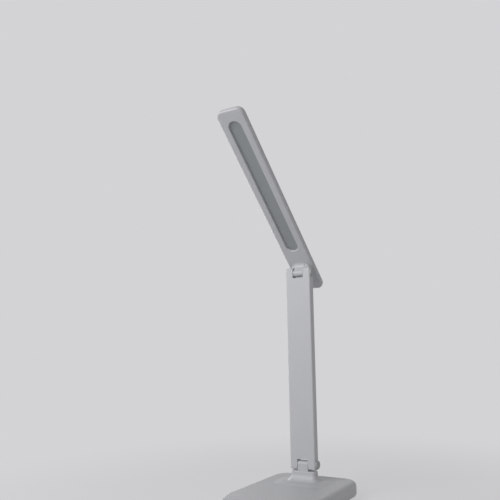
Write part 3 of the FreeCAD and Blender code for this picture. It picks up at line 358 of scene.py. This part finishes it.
class Finishes(Enum):
    """The lamp's finishes."""

    # ABS, moulded with a satin tool: an even off-white with a soft, broad gloss.
    SHELL = MouldedPlastic("abs_moulded_satin_white", "#C4C5C8", 0.45, 1.53, shade="#C0C1C4")
    # ABS from the same melt, polished tool: the key's face is a little glossier than the shell.
    KEY = MouldedPlastic(
        "abs_moulded_polished_white", "#C8C9CB", 0.3, 1.53, shade="#C4C5C7", grain_depth_mm=0.008
    )
    # ABS, moulded: the hinge caps and the base's bottom cover, a step darker than the shell. On the
    # caps this darker grey is painted shade, for their sides that face away from the light.
    GREY_PAINTED_SHADE = MouldedPlastic("abs_moulded_satin_grey_painted_shade", "#A6AAA9", 0.45, 1.53, shade="#A1A5A4")
    # Acrylic, extruded with white filler: a dull grey when unlit, because light goes into it.
    OPAL = MouldedPlastic(
        "acrylic_extruded_opal", "#989C9D", 0.5, 1.49, shade="#94989A", grain_mm=0.8
    )
    # Silicone rubber, pressed sheet: dark and matt, with a coarse grip grain.
    RUBBER = MouldedPlastic(
        "rubber_pressed_dark", "#3B3C3E", 0.8, 1.41, shade="#343537",
        grain_mm=1.2, grain_depth_mm=0.05,
    )
    # Acetal, turned: waxy white rings.
    WASHER = MouldedPlastic("acetal_turned_natural", "#DFDED8", 0.35, 1.48, shade="#D8D7D0")
    # Glass-filled nylon, moulded: matt black, slightly cloudy.
    BLACK = MouldedPlastic("nylon_moulded_black", "#1D1E20", 0.55, 1.53, shade="#26272A")
    # Soft PVC, extruded: smooth white wire cover.
    LEAD = MouldedPlastic("pvc_extruded_white", "#D9D9D6", 0.45, 1.54, shade="#D2D2CF")
    # Silicone and phosphor, cast: the pale yellow face of a light-emitting diode.
    PHOSPHOR = MouldedPlastic(
        "silicone_cast_phosphor", "#D9C872", 0.4, 1.43, shade="#CDBB62", cloud_mm=2.0
    )
    # Steel, rolled and zinc plated: cool grey with soft streaks.
    STEEL = MilledMetal("steel_rolled_zinc", "#B4B7BA", 0.42, metallic=1.0)
    # Steel, cold headed and nickel plated: brighter, for the screws and pins.
    BRIGHT = MilledMetal("steel_headed_nickel", "#C3C2BD", 0.28, metallic=1.0)
    # Copper alloy, stamped and gold flashed: the socket's contacts.
    CONTACT = MilledMetal("bronze_stamped_gold", "#D9B36A", 0.25, metallic=1.0, streak_mm=0.1)
    # Aluminium, lacquered white: the strip under the light-emitting diodes. The lacquer hides the
    # metal's shine, and its streaks show faintly through.
    STRIP = MilledMetal("aluminium_lacquered_white", "#D8D8D4", 0.5)
    # Fibreglass laminate, lacquered green: the driver and key boards.
    BOARD = WovenLaminate("fibreglass_lacquered_green", "#1F5A3A", 0.4, 1.55, thread="#1B5234")


def dress(node: str, finish: Finishes) -> None:
    """Give a node of the frame its finish.

    Args:
        node: Name of the node.
        finish: Finish for all of its faces.
    """
    mesh = frame["nodes"][node].data
    made = finish.value.material()
    if not mesh.materials:
        mesh.materials.append(made)
    for number in range(len(mesh.materials)):
        mesh.materials[number] = made
    LOG.info("dressed %s as %s", node, finish.value.name)


def arc(
    centre: tuple[float, float], radius: float, start: float, end: float, steps: int = 8
) -> Profile:
    """Points along a round stretch of a profile.

    Args:
        centre: Middle of the arc.
        radius: Radius of the arc.
        start: Angle of the first point, in degrees from the first axis.
        end: Angle of the last point.
        steps: Number of stretches between the points.

    Returns:
        The points in order.
    """
    angles = (math.radians(start + (end - start) * step / steps) for step in range(steps + 1))
    return [
        (centre[0] + radius * math.cos(angle), centre[1] + radius * math.sin(angle))
        for angle in angles
    ]


def dish(rim: float, height: float, depth: float, steps: int = 8) -> Profile:
    """Shallow hollow of a turned face, from inside its rim to its middle.

    Args:
        rim: Radius of the rim.
        height: Height of the rim.
        depth: Depth of the middle below the rim.
        steps: Number of stretches.

    Returns:
        The points in order, ending on the axis.
    """
    shares = [1 - step / steps for step in range(1, steps + 1)]
    return [(rim * share, height - depth * (1 - share * share)) for share in shares]


def skin(form: Form, rings: list[list[Corner]]) -> None:
    """Lay faces between closed rings of corners; a ring of one corner is a tip.

    Args:
        form: Mesh that takes the faces.
        rings: Rings in order, each with the same number of corners or with one.
    """
    for low, high in zip(rings, rings[1:]):
        count = max(len(low), len(high))
        for here in range(count):
            there = (here + 1) % count
            corners = [low[here % len(low)], low[there % len(low)]]
            corners += [high[there % len(high)], high[here % len(high)]]
            form.faces.new(list(dict.fromkeys(corners)))


def ring(
    form: Form,
    place: Matrix,
    radius: float,
    height: Callable[[float, float], float],
    segments: int,
) -> list[Corner]:
    """Add a ring of corners about an axis.

    Args:
        form: Mesh that takes the corners.
        place: Where the axis stands; heights run along its +Z.
        radius: Radius of the ring; with none, the ring is one corner.
        height: Height of the corner at a point across the axis.
        segments: Number of corners.

    Returns:
        The corners in order.
    """
    angles = [math.tau * spoke / segments for spoke in range(segments if radius > 0 else 1)]
    spots = [(radius * math.cos(angle), radius * math.sin(angle)) for angle in angles]
    return [form.verts.new(place @ Vector((x, y, height(x, y)))) for x, y in spots]


def turn(form: Form, profile: Profile, place: Matrix, segments: int = 64) -> list[list[Corner]]:
    """Turn a profile about the axis of a place.

    Args:
        form: Mesh that takes the turned skin.
        profile: Radius and height of each point, from one end of the axis to the other.
        place: Where the axis stands; heights run along its +Z.
        segments: Number of faces round the axis.

    Returns:
        The rings of corners, one for each point.
    """
    rings = [
        ring(form, place, radius, lambda x, y, level=height: level, segments)
        for radius, height in profile
    ]
    skin(form, rings)
    return rings


def loft(form: Form, sections: list[list[Vector]]) -> None:
    """Lay a closed skin over sections that have the same number of corners.

    Args:
        form: Mesh that takes the skin.
        sections: Corners of each section, in order along the piece.
    """
    rings = [[form.verts.new(corner) for corner in section] for section in sections]
    skin(form, rings)
    for end in (rings[0], rings[-1]):
        form.faces.new(end)


def fuse(form: Form, other: Form) -> Form:
    """Fuse two closed forms into one skin.

    Args:
        form: First form; it is used up.
        other: Second form; it is used up.

    Returns:
        The skin round both.
    """
    things = []
    for shell in (form, other):
        bmesh.ops.recalc_face_normals(shell, faces=shell.faces)
        mesh = bpy.data.meshes.new("shell")
        shell.to_mesh(mesh)
        shell.free()
        things.append(bpy.data.objects.new("shell", mesh))
        bpy.context.scene.collection.objects.link(things[-1])
    union = things[0].modifiers.new("union", "BOOLEAN")
    union.operation = "UNION"
    union.solver = "EXACT"
    union.object = things[1]
    fused = bmesh.new()
    fused.from_object(things[0], bpy.context.evaluated_depsgraph_get())
    bmesh.ops.remove_doubles(fused, verts=fused.verts, dist=WELD)
    bmesh.ops.dissolve_degenerate(fused, edges=fused.edges, dist=WELD)
    for thing in things:
        mesh = thing.data
        bpy.data.objects.remove(thing)
        bpy.data.meshes.remove(mesh)
    return fused


@dataclass(frozen=True)
class Axis:
    """Axis of a round node of the frame, with +Z along it from the node's low end."""

    place: Matrix
    length: float
    radius: float

    @classmethod
    def of(cls, node: str, direction: Iterable[float]) -> "Axis":
        """Find the axis from the node's mesh.

        Args:
            node: Name of the node.
            direction: Which way the axis points.

        Returns:
            The axis, with the node's length and largest radius.
        """
        turned = Vector(direction).to_track_quat("Z", "Y").to_matrix()
        points = [turned.transposed() @ corner.co for corner in frame["nodes"][node].data.vertices]
        low, high = (
            Vector([pick(point[side] for point in points) for side in range(3)])
            for pick in (min, max)
        )
        middle = (low + high) / 2
        place = turned.to_4x4()
        place.translation = turned @ Vector((middle.x, middle.y, low.z))
        return cls(place, high.z - low.z, (high.x - low.x) / 2)


@dataclass(frozen=True)
class Piece:
    """A mesh of the scene's own: the body it rides on, its finish and the nodes it stands for."""

    name: str
    body: str
    slot: str
    finish: Finishes
    stands_for: tuple[str, ...] = ()
    sharp_degrees: float = 40.0

    def build(self, form: Form) -> None:
        """Turn a form into the piece.

        Args:
            form: Closed mesh in the frame's place; it is used up.
        """
        bmesh.ops.recalc_face_normals(form, faces=form.faces)
        mesh = bpy.data.meshes.new(self.name)
        form.to_mesh(mesh)
        form.free()
        mesh.shade_smooth()
        mesh.set_sharp_from_angle(angle=math.radians(self.sharp_degrees))
        mesh.materials.append(self.finish.value.material())
        thing = bpy.data.objects.new(self.name, mesh)
        bpy.context.scene.collection.objects.link(thing)
        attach(thing, self.body)
        if self.stands_for:
            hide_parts(*self.stands_for)
        LOG.info("built %s, %d faces", self.name, len(mesh.polygons))


@dataclass(frozen=True)
class CrossScrew:
    """Small screw with a flat round head and a cross recess, made along +Z from its tip."""

    head_radius: float = 1.7 * MM
    head_height: float = 0.9 * MM
    head_edge: float = 0.3 * MM
    shank_radius: float = 0.9 * MM
    tip: float = 0.4 * MM
    slot_half: float = 0.26 * MM
    slot_reach: float = 1.05 * MM
    slot_depth: float = 0.55 * MM
    slot_wall: float = 0.15 * MM
    edge_steps: int = 4
    rings: int = 14
    segments: int = 48

    def recess(self, x: float, y: float) -> float:
        """Depth of the cross recess at a point of the head; its walls lean a little."""
        inside = min(self.slot_half - min(abs(x), abs(y)), self.slot_reach - max(abs(x), abs(y)))
        return self.slot_depth * min(max(inside / self.slot_wall, 0.0), 1.0)

    def build(self, form: Form, place: Matrix, length: float) -> None:
        """Add one screw.

        Args:
            form: Mesh that takes the screw.
            place: Where its tip stands, with +Z towards the head.
            length: Length from the tip to the top of the head.
        """
        seat = length - self.head_height
        face = self.head_radius - self.head_edge
        profile = [(0.0, 0.0), (self.shank_radius - self.tip / 2, 0.0)]
        profile += [(self.shank_radius, self.tip), (self.shank_radius, seat)]
        profile += [(self.head_radius, seat)]
        profile += arc(
            (face, length - self.head_edge), self.head_edge, 0.0, 90.0, self.edge_steps
        )
        rings = turn(form, profile, place, self.segments)[-1:]
        for step in range(1, self.rings + 1):
            radius = face * (1 - step / self.rings)
            rings.append(
                ring(form, place, radius, lambda x, y: length - self.recess(x, y), self.segments)
            )
        skin(form, rings)


@dataclass
class Base:
    """Weighted base with the driver, the supply socket and the neck."""

    pad_corner: float = 10.0 * MM
    pad_edge: float = 0.3 * MM
    rib_pitch: float = 3.0 * MM
    groove_half: float = 0.5 * MM
    groove_wall: float = 0.2 * MM
    groove_depth: float = 0.4 * MM
    corner_steps: int = 12
    contacts: int = 12
    contact_pitch: float = 0.5 * MM
    contact_half: float = 0.13 * MM
    contact_proud: float = 0.05 * MM
    contact_back: float = 0.3 * MM
    blade_nose: float = 0.4 * MM
    nose_share: float = 0.5

    def build(self) -> None:
        """Build the pad and the socket's blade, and dress the other pieces."""
        self.grip_pad()
        self.socket_blade()
        dress("base_shell", Finishes.SHELL)
        # The bottom cover takes the caps' grey, which on the caps is painted shade.
        dress("base_bottom_cover", Finishes.GREY_PAINTED_SHADE)
        dress("ballast_plate", Finishes.STEEL)
        for holder in ("ballast", "base", "board", "key_board", "inlet"):
            dress(f"{holder}_screws", Finishes.BRIGHT)
        for node in ("control_board", "key_board", "inlet_board"):
            dress(node, Finishes.BOARD)
        for node in ("driver_parts", "tact_switch"):
            dress(node, Finishes.BLACK)
        dress("base_lead", Finishes.LEAD)
        dress("power_inlet", Finishes.BRIGHT)

    def grip_rows(self, half_length: float) -> list[float]:
        """Places along the pad where its section changes: the grooves' edges and the round corners.

        Args:
            half_length: Half of the pad's length.

        Returns:
            Distances from the pad's middle, in order.
        """
        rows = {0.0}
        ribs = math.floor((half_length - self.pad_corner / 2) / self.rib_pitch)
        for rib in range(-ribs, ribs + 1):
            for reach in (self.groove_half, self.groove_half - self.groove_wall):
                rows |= {rib * self.rib_pitch - reach, rib * self.rib_pitch + reach}
        for step in range(self.corner_steps + 1):
            lean = math.sin(math.pi / 2 * step / self.corner_steps)
            row = half_length - self.pad_corner + self.pad_corner * lean
            rows |= {row, -row}
        return sorted(rows)

    def groove(self, row: float, half_length: float) -> float:
        """Depth of the pad's grooves; its ends have none.

        Args:
            row: Distance from the pad's middle.
            half_length: Half of the pad's length.

        Returns:
            Depth at that distance.
        """
        if abs(row) > half_length - self.pad_corner / 2 + self.groove_half:
            return 0.0
        off = abs(row - self.rib_pitch * round(row / self.rib_pitch))
        return self.groove_depth * min(max((self.groove_half - off) / self.groove_wall, 0.0), 1.0)

    def grip_pad(self) -> None:
        """Make the rubber pad with grooves across its underside."""
        low, high = (Vector(corner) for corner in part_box("anti_slip_pad"))
        middle, half = (low + high) / 2, (high - low) / 2
        sections = []
        for row in self.grip_rows(half.y):
            over = max(abs(row) - half.y + self.pad_corner, 0.0)
            side = half.x - self.pad_corner + math.sqrt(max(self.pad_corner ** 2 - over ** 2, 0.0))
            under = low.z + self.groove(row, half.y)
            across = [(-side, high.z), (-side, under + self.pad_edge)]
            across += [(self.pad_edge - side, under)]
            across += [(-x, z) for x, z in reversed(across)]
            sections.append([Vector((middle.x + x, middle.y + row, z)) for x, z in across])
        form = bmesh.new()
        loft(form, sections)
        piece = Piece(
            "grip_pad", "base", "pad_rubber", Finishes.RUBBER, ("anti_slip_pad",),
            sharp_degrees=GROOVED_SHARP,
        )
        piece.build(form)

    def slab(self, form: Form, middle: Vector, half: Vector, nose: float) -> None:
        """Add a thin slab along Y whose outer end tapers.

        Args:
            form: Mesh that takes the slab.
            middle: Middle of the slab.
            half: Half of its size along each axis.
            nose: Length of the taper.
        """
        shares = ((-half.y, 1.0), (half.y - nose, 1.0), (half.y, self.nose_share))
        loft(form, [
            [middle + Vector((x * (half.x - nose / 2 * (1 - share)), y, z * half.z * share))
             for x, z in ((-1, -1), (1, -1), (1, 1), (-1, 1))]
            for y, share in shares
        ])

    def socket_blade(self) -> None:
        """Make the socket's blade with rows of contacts above and below."""
        low, high = (Vector(corner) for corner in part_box("inlet_tongue"))
        middle, half = (low + high) / 2, (high - low) / 2
        form = bmesh.new()
        self.slab(form, middle, half - Vector((0.0, 0.0, self.contact_proud)), self.blade_nose)
        piece = Piece("socket_blade", "base", "switch_plastic", Finishes.BLACK, ("inlet_tongue",))
        piece.build(form)
        form = bmesh.new()
        half_length = half.y - self.blade_nose / 2 - self.contact_back / 2
        reach = Vector((self.contact_half, half_length, self.contact_proud))
        y = (self.contact_back - self.blade_nose) / 2
        for side in (-1, 1):
            for number in range(self.contacts):
                x = (number - (self.contacts - 1) / 2) * self.contact_pitch
                spot = middle + Vector((x, y, side * (half.z - reach.z)))
                self.slab(form, spot, reach, self.contact_half)
        Piece("socket_contacts", "base", "socket_steel", Finishes.CONTACT).build(form)


@dataclass
class PowerKey:
    """Round key in the sloped front, with the switch's plunger."""

    key_radius: float = 5.5 * MM
    key_round: float = 0.6 * MM
    key_dish: float = 0.4 * MM
    stem_radius: float = 1.6 * MM
    stem_length: float = 0.5 * MM
    flange_thickness: float = 0.9 * MM
    dish_steps: int = 16
    segments: int = 96

    def build(self) -> None:
        """Turn the key and dress its plunger."""
        axis = Axis.of("power_button", -Vector(joint("power_press")["axis"]))
        flange_top = self.stem_length + self.flange_thickness
        face = self.key_radius - self.key_round
        profile = [(0.0, 0.0), (self.stem_radius, 0.0), (self.stem_radius, self.stem_length)]
        profile += [(axis.radius, self.stem_length), (axis.radius, flange_top)]
        profile += [(self.key_radius, flange_top)]
        profile += arc((face, axis.length - self.key_round), self.key_round, 0.0, 90.0)
        profile += dish(face, axis.length, self.key_dish, self.dish_steps)
        form = bmesh.new()
        turn(form, profile, axis.place, self.segments)
        Piece("key_turned", "power_key", "key_abs", Finishes.KEY, ("power_button",)).build(form)
        dress("switch_plunger", Finishes.BLACK)


@dataclass
class Arm:
    """Flat arm with a fork at each end and the hinge hardware."""

    cap_seat: float = 0.72 * MM
    cap_flange: float = 0.8 * MM
    cap_round: float = 1.1 * MM
    cap_dish: float = 0.25 * MM
    screw: CrossScrew = CrossScrew()

    def build(self) -> None:
        """Build the lid's screws and the hinge caps, and dress the other pieces."""
        self.lid_screws()
        for node in ("arm_front_shell", "arm_rear_cover"):
            dress(node, Finishes.SHELL)
        dress("arm_stiffener", Finishes.STEEL)
        dress("arm_lead", Finishes.LEAD)
        for end in ("lower", "upper"):
            self.cap(end)
            dress(f"{end}_hinge_pin", Finishes.BRIGHT)
            dress(f"{end}_pin_nut", Finishes.BRIGHT)
            dress(f"{end}_friction_washers", Finishes.WASHER)

    def lid_screws(self) -> None:
        """Make the four screws of the arm's lid, at the corners of the node's box."""
        low, high = (Vector(corner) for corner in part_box("arm_screws"))
        inset = self.screw.head_radius
        outward = Matrix.Rotation(math.radians(-90.0), 4, "X")
        form = bmesh.new()
        for x in (low.x + inset, high.x - inset):
            for z in (low.z + inset, high.z - inset):
                self.screw.build(form, Matrix.Translation((x, low.y, z)) @ outward, high.y - low.y)
        piece = Piece(
            "lid_cross_screws", "arm", "screw_steel", Finishes.BRIGHT, ("arm_screws",),
            sharp_degrees=GROOVED_SHARP,
        )
        piece.build(form)

    def cap(self, end: str) -> None:
        """Turn the soft-edged cap over a pin's head, with a flange on the arm and a dished face.

        Args:
            end: Which end of the arm, "lower" or "upper".
        """
        axis = Axis.of(f"{end}_pin_cap", (1.0, 0.0, 0.0))
        rim = axis.radius + self.cap_flange
        face = rim - self.cap_round
        profile = [(0.0, 0.0), (axis.radius, 0.0), (axis.radius, self.cap_seat)]
        profile += [(rim, self.cap_seat)]
        profile += arc((face, axis.length - self.cap_round), self.cap_round, 0.0, 90.0)
        profile += dish(face, axis.length, self.cap_dish)
        form = bmesh.new()
        turn(form, profile, axis.place)
        # The caps' darker grey finish is painted shade.
        Piece(f"{end}_cap_turned", "arm", "grey_abs", Finishes.GREY_PAINTED_SHADE, (f"{end}_pin_cap",)).build(form)


@dataclass
class Head:
    """Slab head with the long window, its opal plate, the light strip and the lug under it."""

    tilt_degrees: float = 44.0
    lug_half: float = 6.0 * MM
    lug_radius: float = 3.9 * MM
    lug_rise: float = 8.8 * MM
    foot_half: float = 8.0 * MM
    foot_edge: float = 0.5 * MM
    lug_round: float = 0.5 * MM
    flare_steps: int = 12
    end_steps: int = 16
    edge_steps: int = 5
    bore_radius: float = 1.55 * MM
    bore_steps: int = 32
    saddle_across: float = 11.5 * MM
    saddle_radius: float = 6.3 * MM
    saddle_fullness: float = 2.8
    saddle_tip: float = 0.998
    # The saddle lies a little inside the lug's own flare, so that their skins never coincide.
    saddle_share: float = 0.98
    saddle_steps: int = 16

    def build(self) -> None:
        """Build the lug and dress the head's other pieces."""
        self.lug()
        for node in ("head_lower_frame", "head_upper_cover"):
            dress(node, Finishes.SHELL)
        dress("diffuser", Finishes.OPAL)
        dress("led_board", Finishes.STRIP)
        dress("led_chips", Finishes.PHOSPHOR)
        dress("lug_screws", Finishes.BRIGHT)
        dress("head_lead", Finishes.LEAD)

    def lug_outline(self, inset: float) -> Profile:
        """Side outline of the lug, a round end about the pin that flares into a foot.

        Args:
            inset: How far the outline lies inside its full size.

        Returns:
            The points in order, level with the head.
        """
        flare = self.foot_half - self.lug_radius + inset
        height = self.lug_rise - self.foot_edge - flare + inset
        start = 90.0 + math.degrees(math.asin(inset / flare))
        half = [(self.foot_half - inset, self.lug_rise)]
        half += arc((self.foot_half, height), flare, start, 180.0, self.flare_steps)
        half += arc((0.0, 0.0), self.lug_radius - inset, 0.0, -90.0, self.end_steps)
        return half + [(-across, up) for across, up in reversed(half[:-1])]

    def saddle(self, place: Matrix) -> Form:
        """Spread the lug's flare across the head's underside, clear of the prongs' swing.

        Args:
            place: Where the pin's middle stands, level with the head.

        Returns:
            The saddle as a closed form.
        """
        flank = [spot for spot in self.lug_outline(0.0) if math.hypot(*spot) >= self.saddle_radius]
        side = flank[:len(flank) // 2]
        turned = math.degrees(math.atan2(side[-1][1], side[-1][0]))
        hollow = arc((0.0, 0.0), self.saddle_radius, turned, 180.0 - turned, self.saddle_steps)
        outline = [(y, self.lug_rise - z) for y, z in side + hollow + flank[len(side):]]
        sections = []
        for step in range(-self.saddle_steps, self.saddle_steps + 1):
            share = self.saddle_tip * math.sin(math.pi / 2 * step / self.saddle_steps)
            fade = 1 - abs(share) ** self.saddle_fullness
            size = self.saddle_share * fade ** (1 / self.saddle_fullness)
            x = self.saddle_across * share
            sections.append([
                place @ Vector((x, y * size, self.lug_rise - drop * size)) for y, drop in outline
            ])
        form = bmesh.new()
        loft(form, sections)
        return form

    def lug(self) -> None:
        """Make the lug as one moulding, with its saddle, the pin's bore and rounded edges."""
        tilt = Matrix.Rotation(math.radians(-self.tilt_degrees), 4, "X")
        place = Matrix.Translation(joint("head_tilt")["pos_m"]) @ tilt
        middle = (self.lug_half - self.lug_round, 0.0)
        edge = arc(middle, self.lug_round, 0.0, 90.0, self.edge_steps)
        half = [(x, self.lug_round - rise) for x, rise in edge]
        form = bmesh.new()
        outer = [
            [form.verts.new(place @ Vector((x, y, z))) for y, z in self.lug_outline(inset)]
            for x, inset in half + [(-x, inset) for x, inset in reversed(half)]
        ]
        level = place @ Matrix.Rotation(math.radians(90.0), 4, "Y")
        bore = [
            ring(form, level, self.bore_radius, lambda x, y, side=side: side, self.bore_steps)
            for side in (self.lug_half, -self.lug_half)
        ]
        skin(form, outer)
        skin(form, bore)
        for rims in zip((outer[0], outer[-1]), bore):
            edges = [
                form.edges.get((rim[here - 1], rim[here]))
                for rim in rims for here in range(len(rim))
            ]
            bmesh.ops.triangle_fill(form, use_beauty=True, edges=edges)
        piece = Piece("lug_moulded", "head", "white_abs", Finishes.SHELL, ("hinge_lug",))
        piece.build(fuse(form, self.saddle(place)))


@dataclass(frozen=True)
class SoftBox:
    """Square lamp with a diffusing cloth, aimed at a point of the lamp."""

    name: str
    place: tuple[float, float, float]
    aim: tuple[float, float, float]
    side: float
    watts: float

    def build(self) -> None:
        """Hang the soft box in its place."""
        light = bpy.data.lights.new(self.name, "AREA")
        light.shape = "SQUARE"
        light.size = self.side
        light.energy = self.watts
        lamp = bpy.data.objects.new(self.name, light)
        lamp.location = self.place
        lamp.rotation_mode = "QUATERNION"
        lamp.rotation_quaternion = (Vector(self.aim) - Vector(self.place)).to_track_quat("-Z", "Y")
        bpy.context.scene.collection.objects.link(lamp)


@dataclass
class Studio:
    """Pale floor that fades into a plain backdrop, and soft light."""

    backdrop: str = "#D3D3D5"
    floor_colour: str = "#E0E0E2"
    floor_radius: float = 3.0
    shade_radius: float = 0.14
    fade_radius: float = 0.5
    near_share: float = 0.75
    floor_sides: int = 96
    ambient: str = "#FFFFFF"
    wall_light: float = 0.66
    ceiling_light: float = 0.1
    key: SoftBox = SoftBox(
        "key_soft_box", place=(-0.4, -0.8, 0.66), aim=(0.0, 0.0, 0.2), side=0.65, watts=5.5
    )
    rear: SoftBox = SoftBox(
        "rear_soft_box", place=(-0.8, 0.5, 0.2), aim=(0.0, 0.0, 0.2), side=0.5, watts=2.0
    )

    def build(self) -> None:
        """Set up the floor, the backdrop and the lights."""
        self.floor()
        self.world()
        self.key.build()
        self.rear.build()

    def seen(self, tree: Tree) -> Socket:
        """One for rays that show the backdrop, to the eye or in gloss or glass, and else zero.

        Args:
            tree: Node tree that takes the nodes.

        Returns:
            Socket with the share.
        """
        ray = add_node(tree, "ShaderNodeLightPath").outputs
        shown = ray["Is Camera Ray"]
        for other in ("Is Glossy Ray", "Is Transmission Ray"):
            either = {0: shown, 1: ray[other]}
            shown = add_node(tree, "ShaderNodeMath", {"operation": "MAXIMUM"}, either).outputs[0]
        return shown

    def world(self) -> None:
        """Make the room light, pale walls and a dim ceiling, with the plain backdrop to see."""
        world = bpy.data.worlds.new("studio")
        tree = bare_tree(world)
        direction = add_node(tree, "ShaderNodeTexCoord").outputs["Generated"]
        height = add_node(tree, "ShaderNodeSeparateXYZ", links={"Vector": direction}).outputs["Z"]
        glow = add_node(
            tree,
            "ShaderNodeMapRange",
            {"To Min": self.wall_light, "To Max": self.ceiling_light},
            {"Value": height},
        )
        room = add_node(
            tree,
            "ShaderNodeBackground",
            {"Color": linear(self.ambient)},
            {"Strength": glow.outputs["Result"]},
        )
        plain = add_node(tree, "ShaderNodeBackground", {"Color": linear(self.backdrop)})
        both = add_node(
            tree,
            "ShaderNodeMixShader",
            links={0: self.seen(tree), 1: room.outputs[0], 2: plain.outputs[0]},
        )
        add_node(tree, "ShaderNodeOutputWorld", links={"Surface": both.outputs[0]})
        bpy.context.scene.world = world

    def floor(self) -> None:
        """Lay a round floor that keeps the lamp's shadow and fades into the backdrop."""
        mesh = bpy.data.meshes.new("studio_floor")
        form = bmesh.new()
        bmesh.ops.create_circle(
            form, cap_ends=True, segments=self.floor_sides, radius=self.floor_radius
        )
        form.to_mesh(mesh)
        form.free()
        floor = bpy.data.objects.new("studio_floor", mesh)
        bpy.context.scene.collection.objects.link(floor)
        made = bpy.data.materials.new("card_matt_pale")
        tree = bare_tree(made)
        place = add_node(tree, "ShaderNodeTexCoord").outputs["Object"]
        reach = add_node(tree, "ShaderNodeVectorMath", {"operation": "LENGTH"}, {0: place})
        far = add_node(
            tree,
            "ShaderNodeMapRange",
            {
                "interpolation_type": "SMOOTHSTEP",
                "From Min": self.shade_radius,
                "From Max": self.fade_radius,
                "To Min": self.near_share,
            },
            {"Value": reach.outputs["Value"]},
        )
        faded = add_node(
            tree,
            "ShaderNodeMath",
            {"operation": "MULTIPLY"},
            {0: far.outputs["Result"], 1: self.seen(tree)},
        )
        card = add_node(tree, "ShaderNodeBsdfDiffuse", {"Color": linear(self.floor_colour)})
        plain = add_node(tree, "ShaderNodeEmission", {"Color": linear(self.backdrop)})
        both = add_node(
            tree,
            "ShaderNodeMixShader",
            links={0: faded.outputs[0], 1: card.outputs[0], 2: plain.outputs[0]},
        )
        # From below, the floor is clear, so that the lamp's underside shows.
        under = add_node(tree, "ShaderNodeNewGeometry").outputs["Backfacing"]
        clear = add_node(tree, "ShaderNodeBsdfTransparent")
        shown = add_node(
            tree,
            "ShaderNodeMixShader",
            links={0: under, 1: both.outputs[0], 2: clear.outputs[0]},
        )
        add_node(tree, "ShaderNodeOutputMaterial", links={"Surface": shown.outputs[0]})
        mesh.materials.append(made)


@dataclass
class Viewpoint:
    """Camera at the photograph's angle; the target is given from the lower hinge pin."""

    azimuth: float = 30.18
    elevation: float = -6.2
    roll: float = -1.34
    distance: float = 669.99 * MM
    target_across: float = -25.36 * MM
    target_up: float = 203.32 * MM
    focal_pixels: float = 594.86
    centre_x: float = 279.5
    centre_y: float = 276.36
    sensor_mm: float = 36.0

    def build(self) -> None:
        """Set up the camera."""
        swing, rise, tilt = (
            math.radians(angle) for angle in (self.azimuth, self.elevation, self.roll)
        )
        ahead = Vector((math.sin(swing), -math.cos(swing), 0.0))
        back = ahead * math.cos(rise) + Vector((0.0, 0.0, math.sin(rise)))
        level = Vector((math.cos(swing), math.sin(swing), 0.0))
        upright = back.cross(level)
        right = level * math.cos(tilt) + upright * math.sin(tilt)
        up = upright * math.cos(tilt) - level * math.sin(tilt)
        pin = Vector(joint("arm_fold")["pos_m"])
        target = pin + Vector((self.target_across, 0.0, self.target_up))
        camera = bpy.data.cameras.new("viewpoint")
        camera.sensor_width = self.sensor_mm
        camera.lens = self.focal_pixels * self.sensor_mm / PHOTO_SIDE
        camera.shift_x = 0.5 - self.centre_x / PHOTO_SIDE
        camera.shift_y = self.centre_y / PHOTO_SIDE - 0.5
        eye = bpy.data.objects.new("viewpoint", camera)
        place = Matrix((right, up, back)).transposed().to_4x4()
        place.translation = target + back * self.distance
        eye.matrix_world = place
        bpy.context.scene.collection.objects.link(eye)
        bpy.context.scene.camera = eye


def main() -> None:
    """Dress the lamp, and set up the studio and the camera."""
    logging.basicConfig(level=logging.INFO)
    for part in (Base(), PowerKey(), Arm(), Head(), Studio(), Viewpoint()):
        part.build()
        LOG.info("built %s", type(part).__name__)
    bpy.context.scene.view_settings.view_transform = "Standard"
    bpy.context.view_layer.update()


if __name__ == "__main__":
    main()
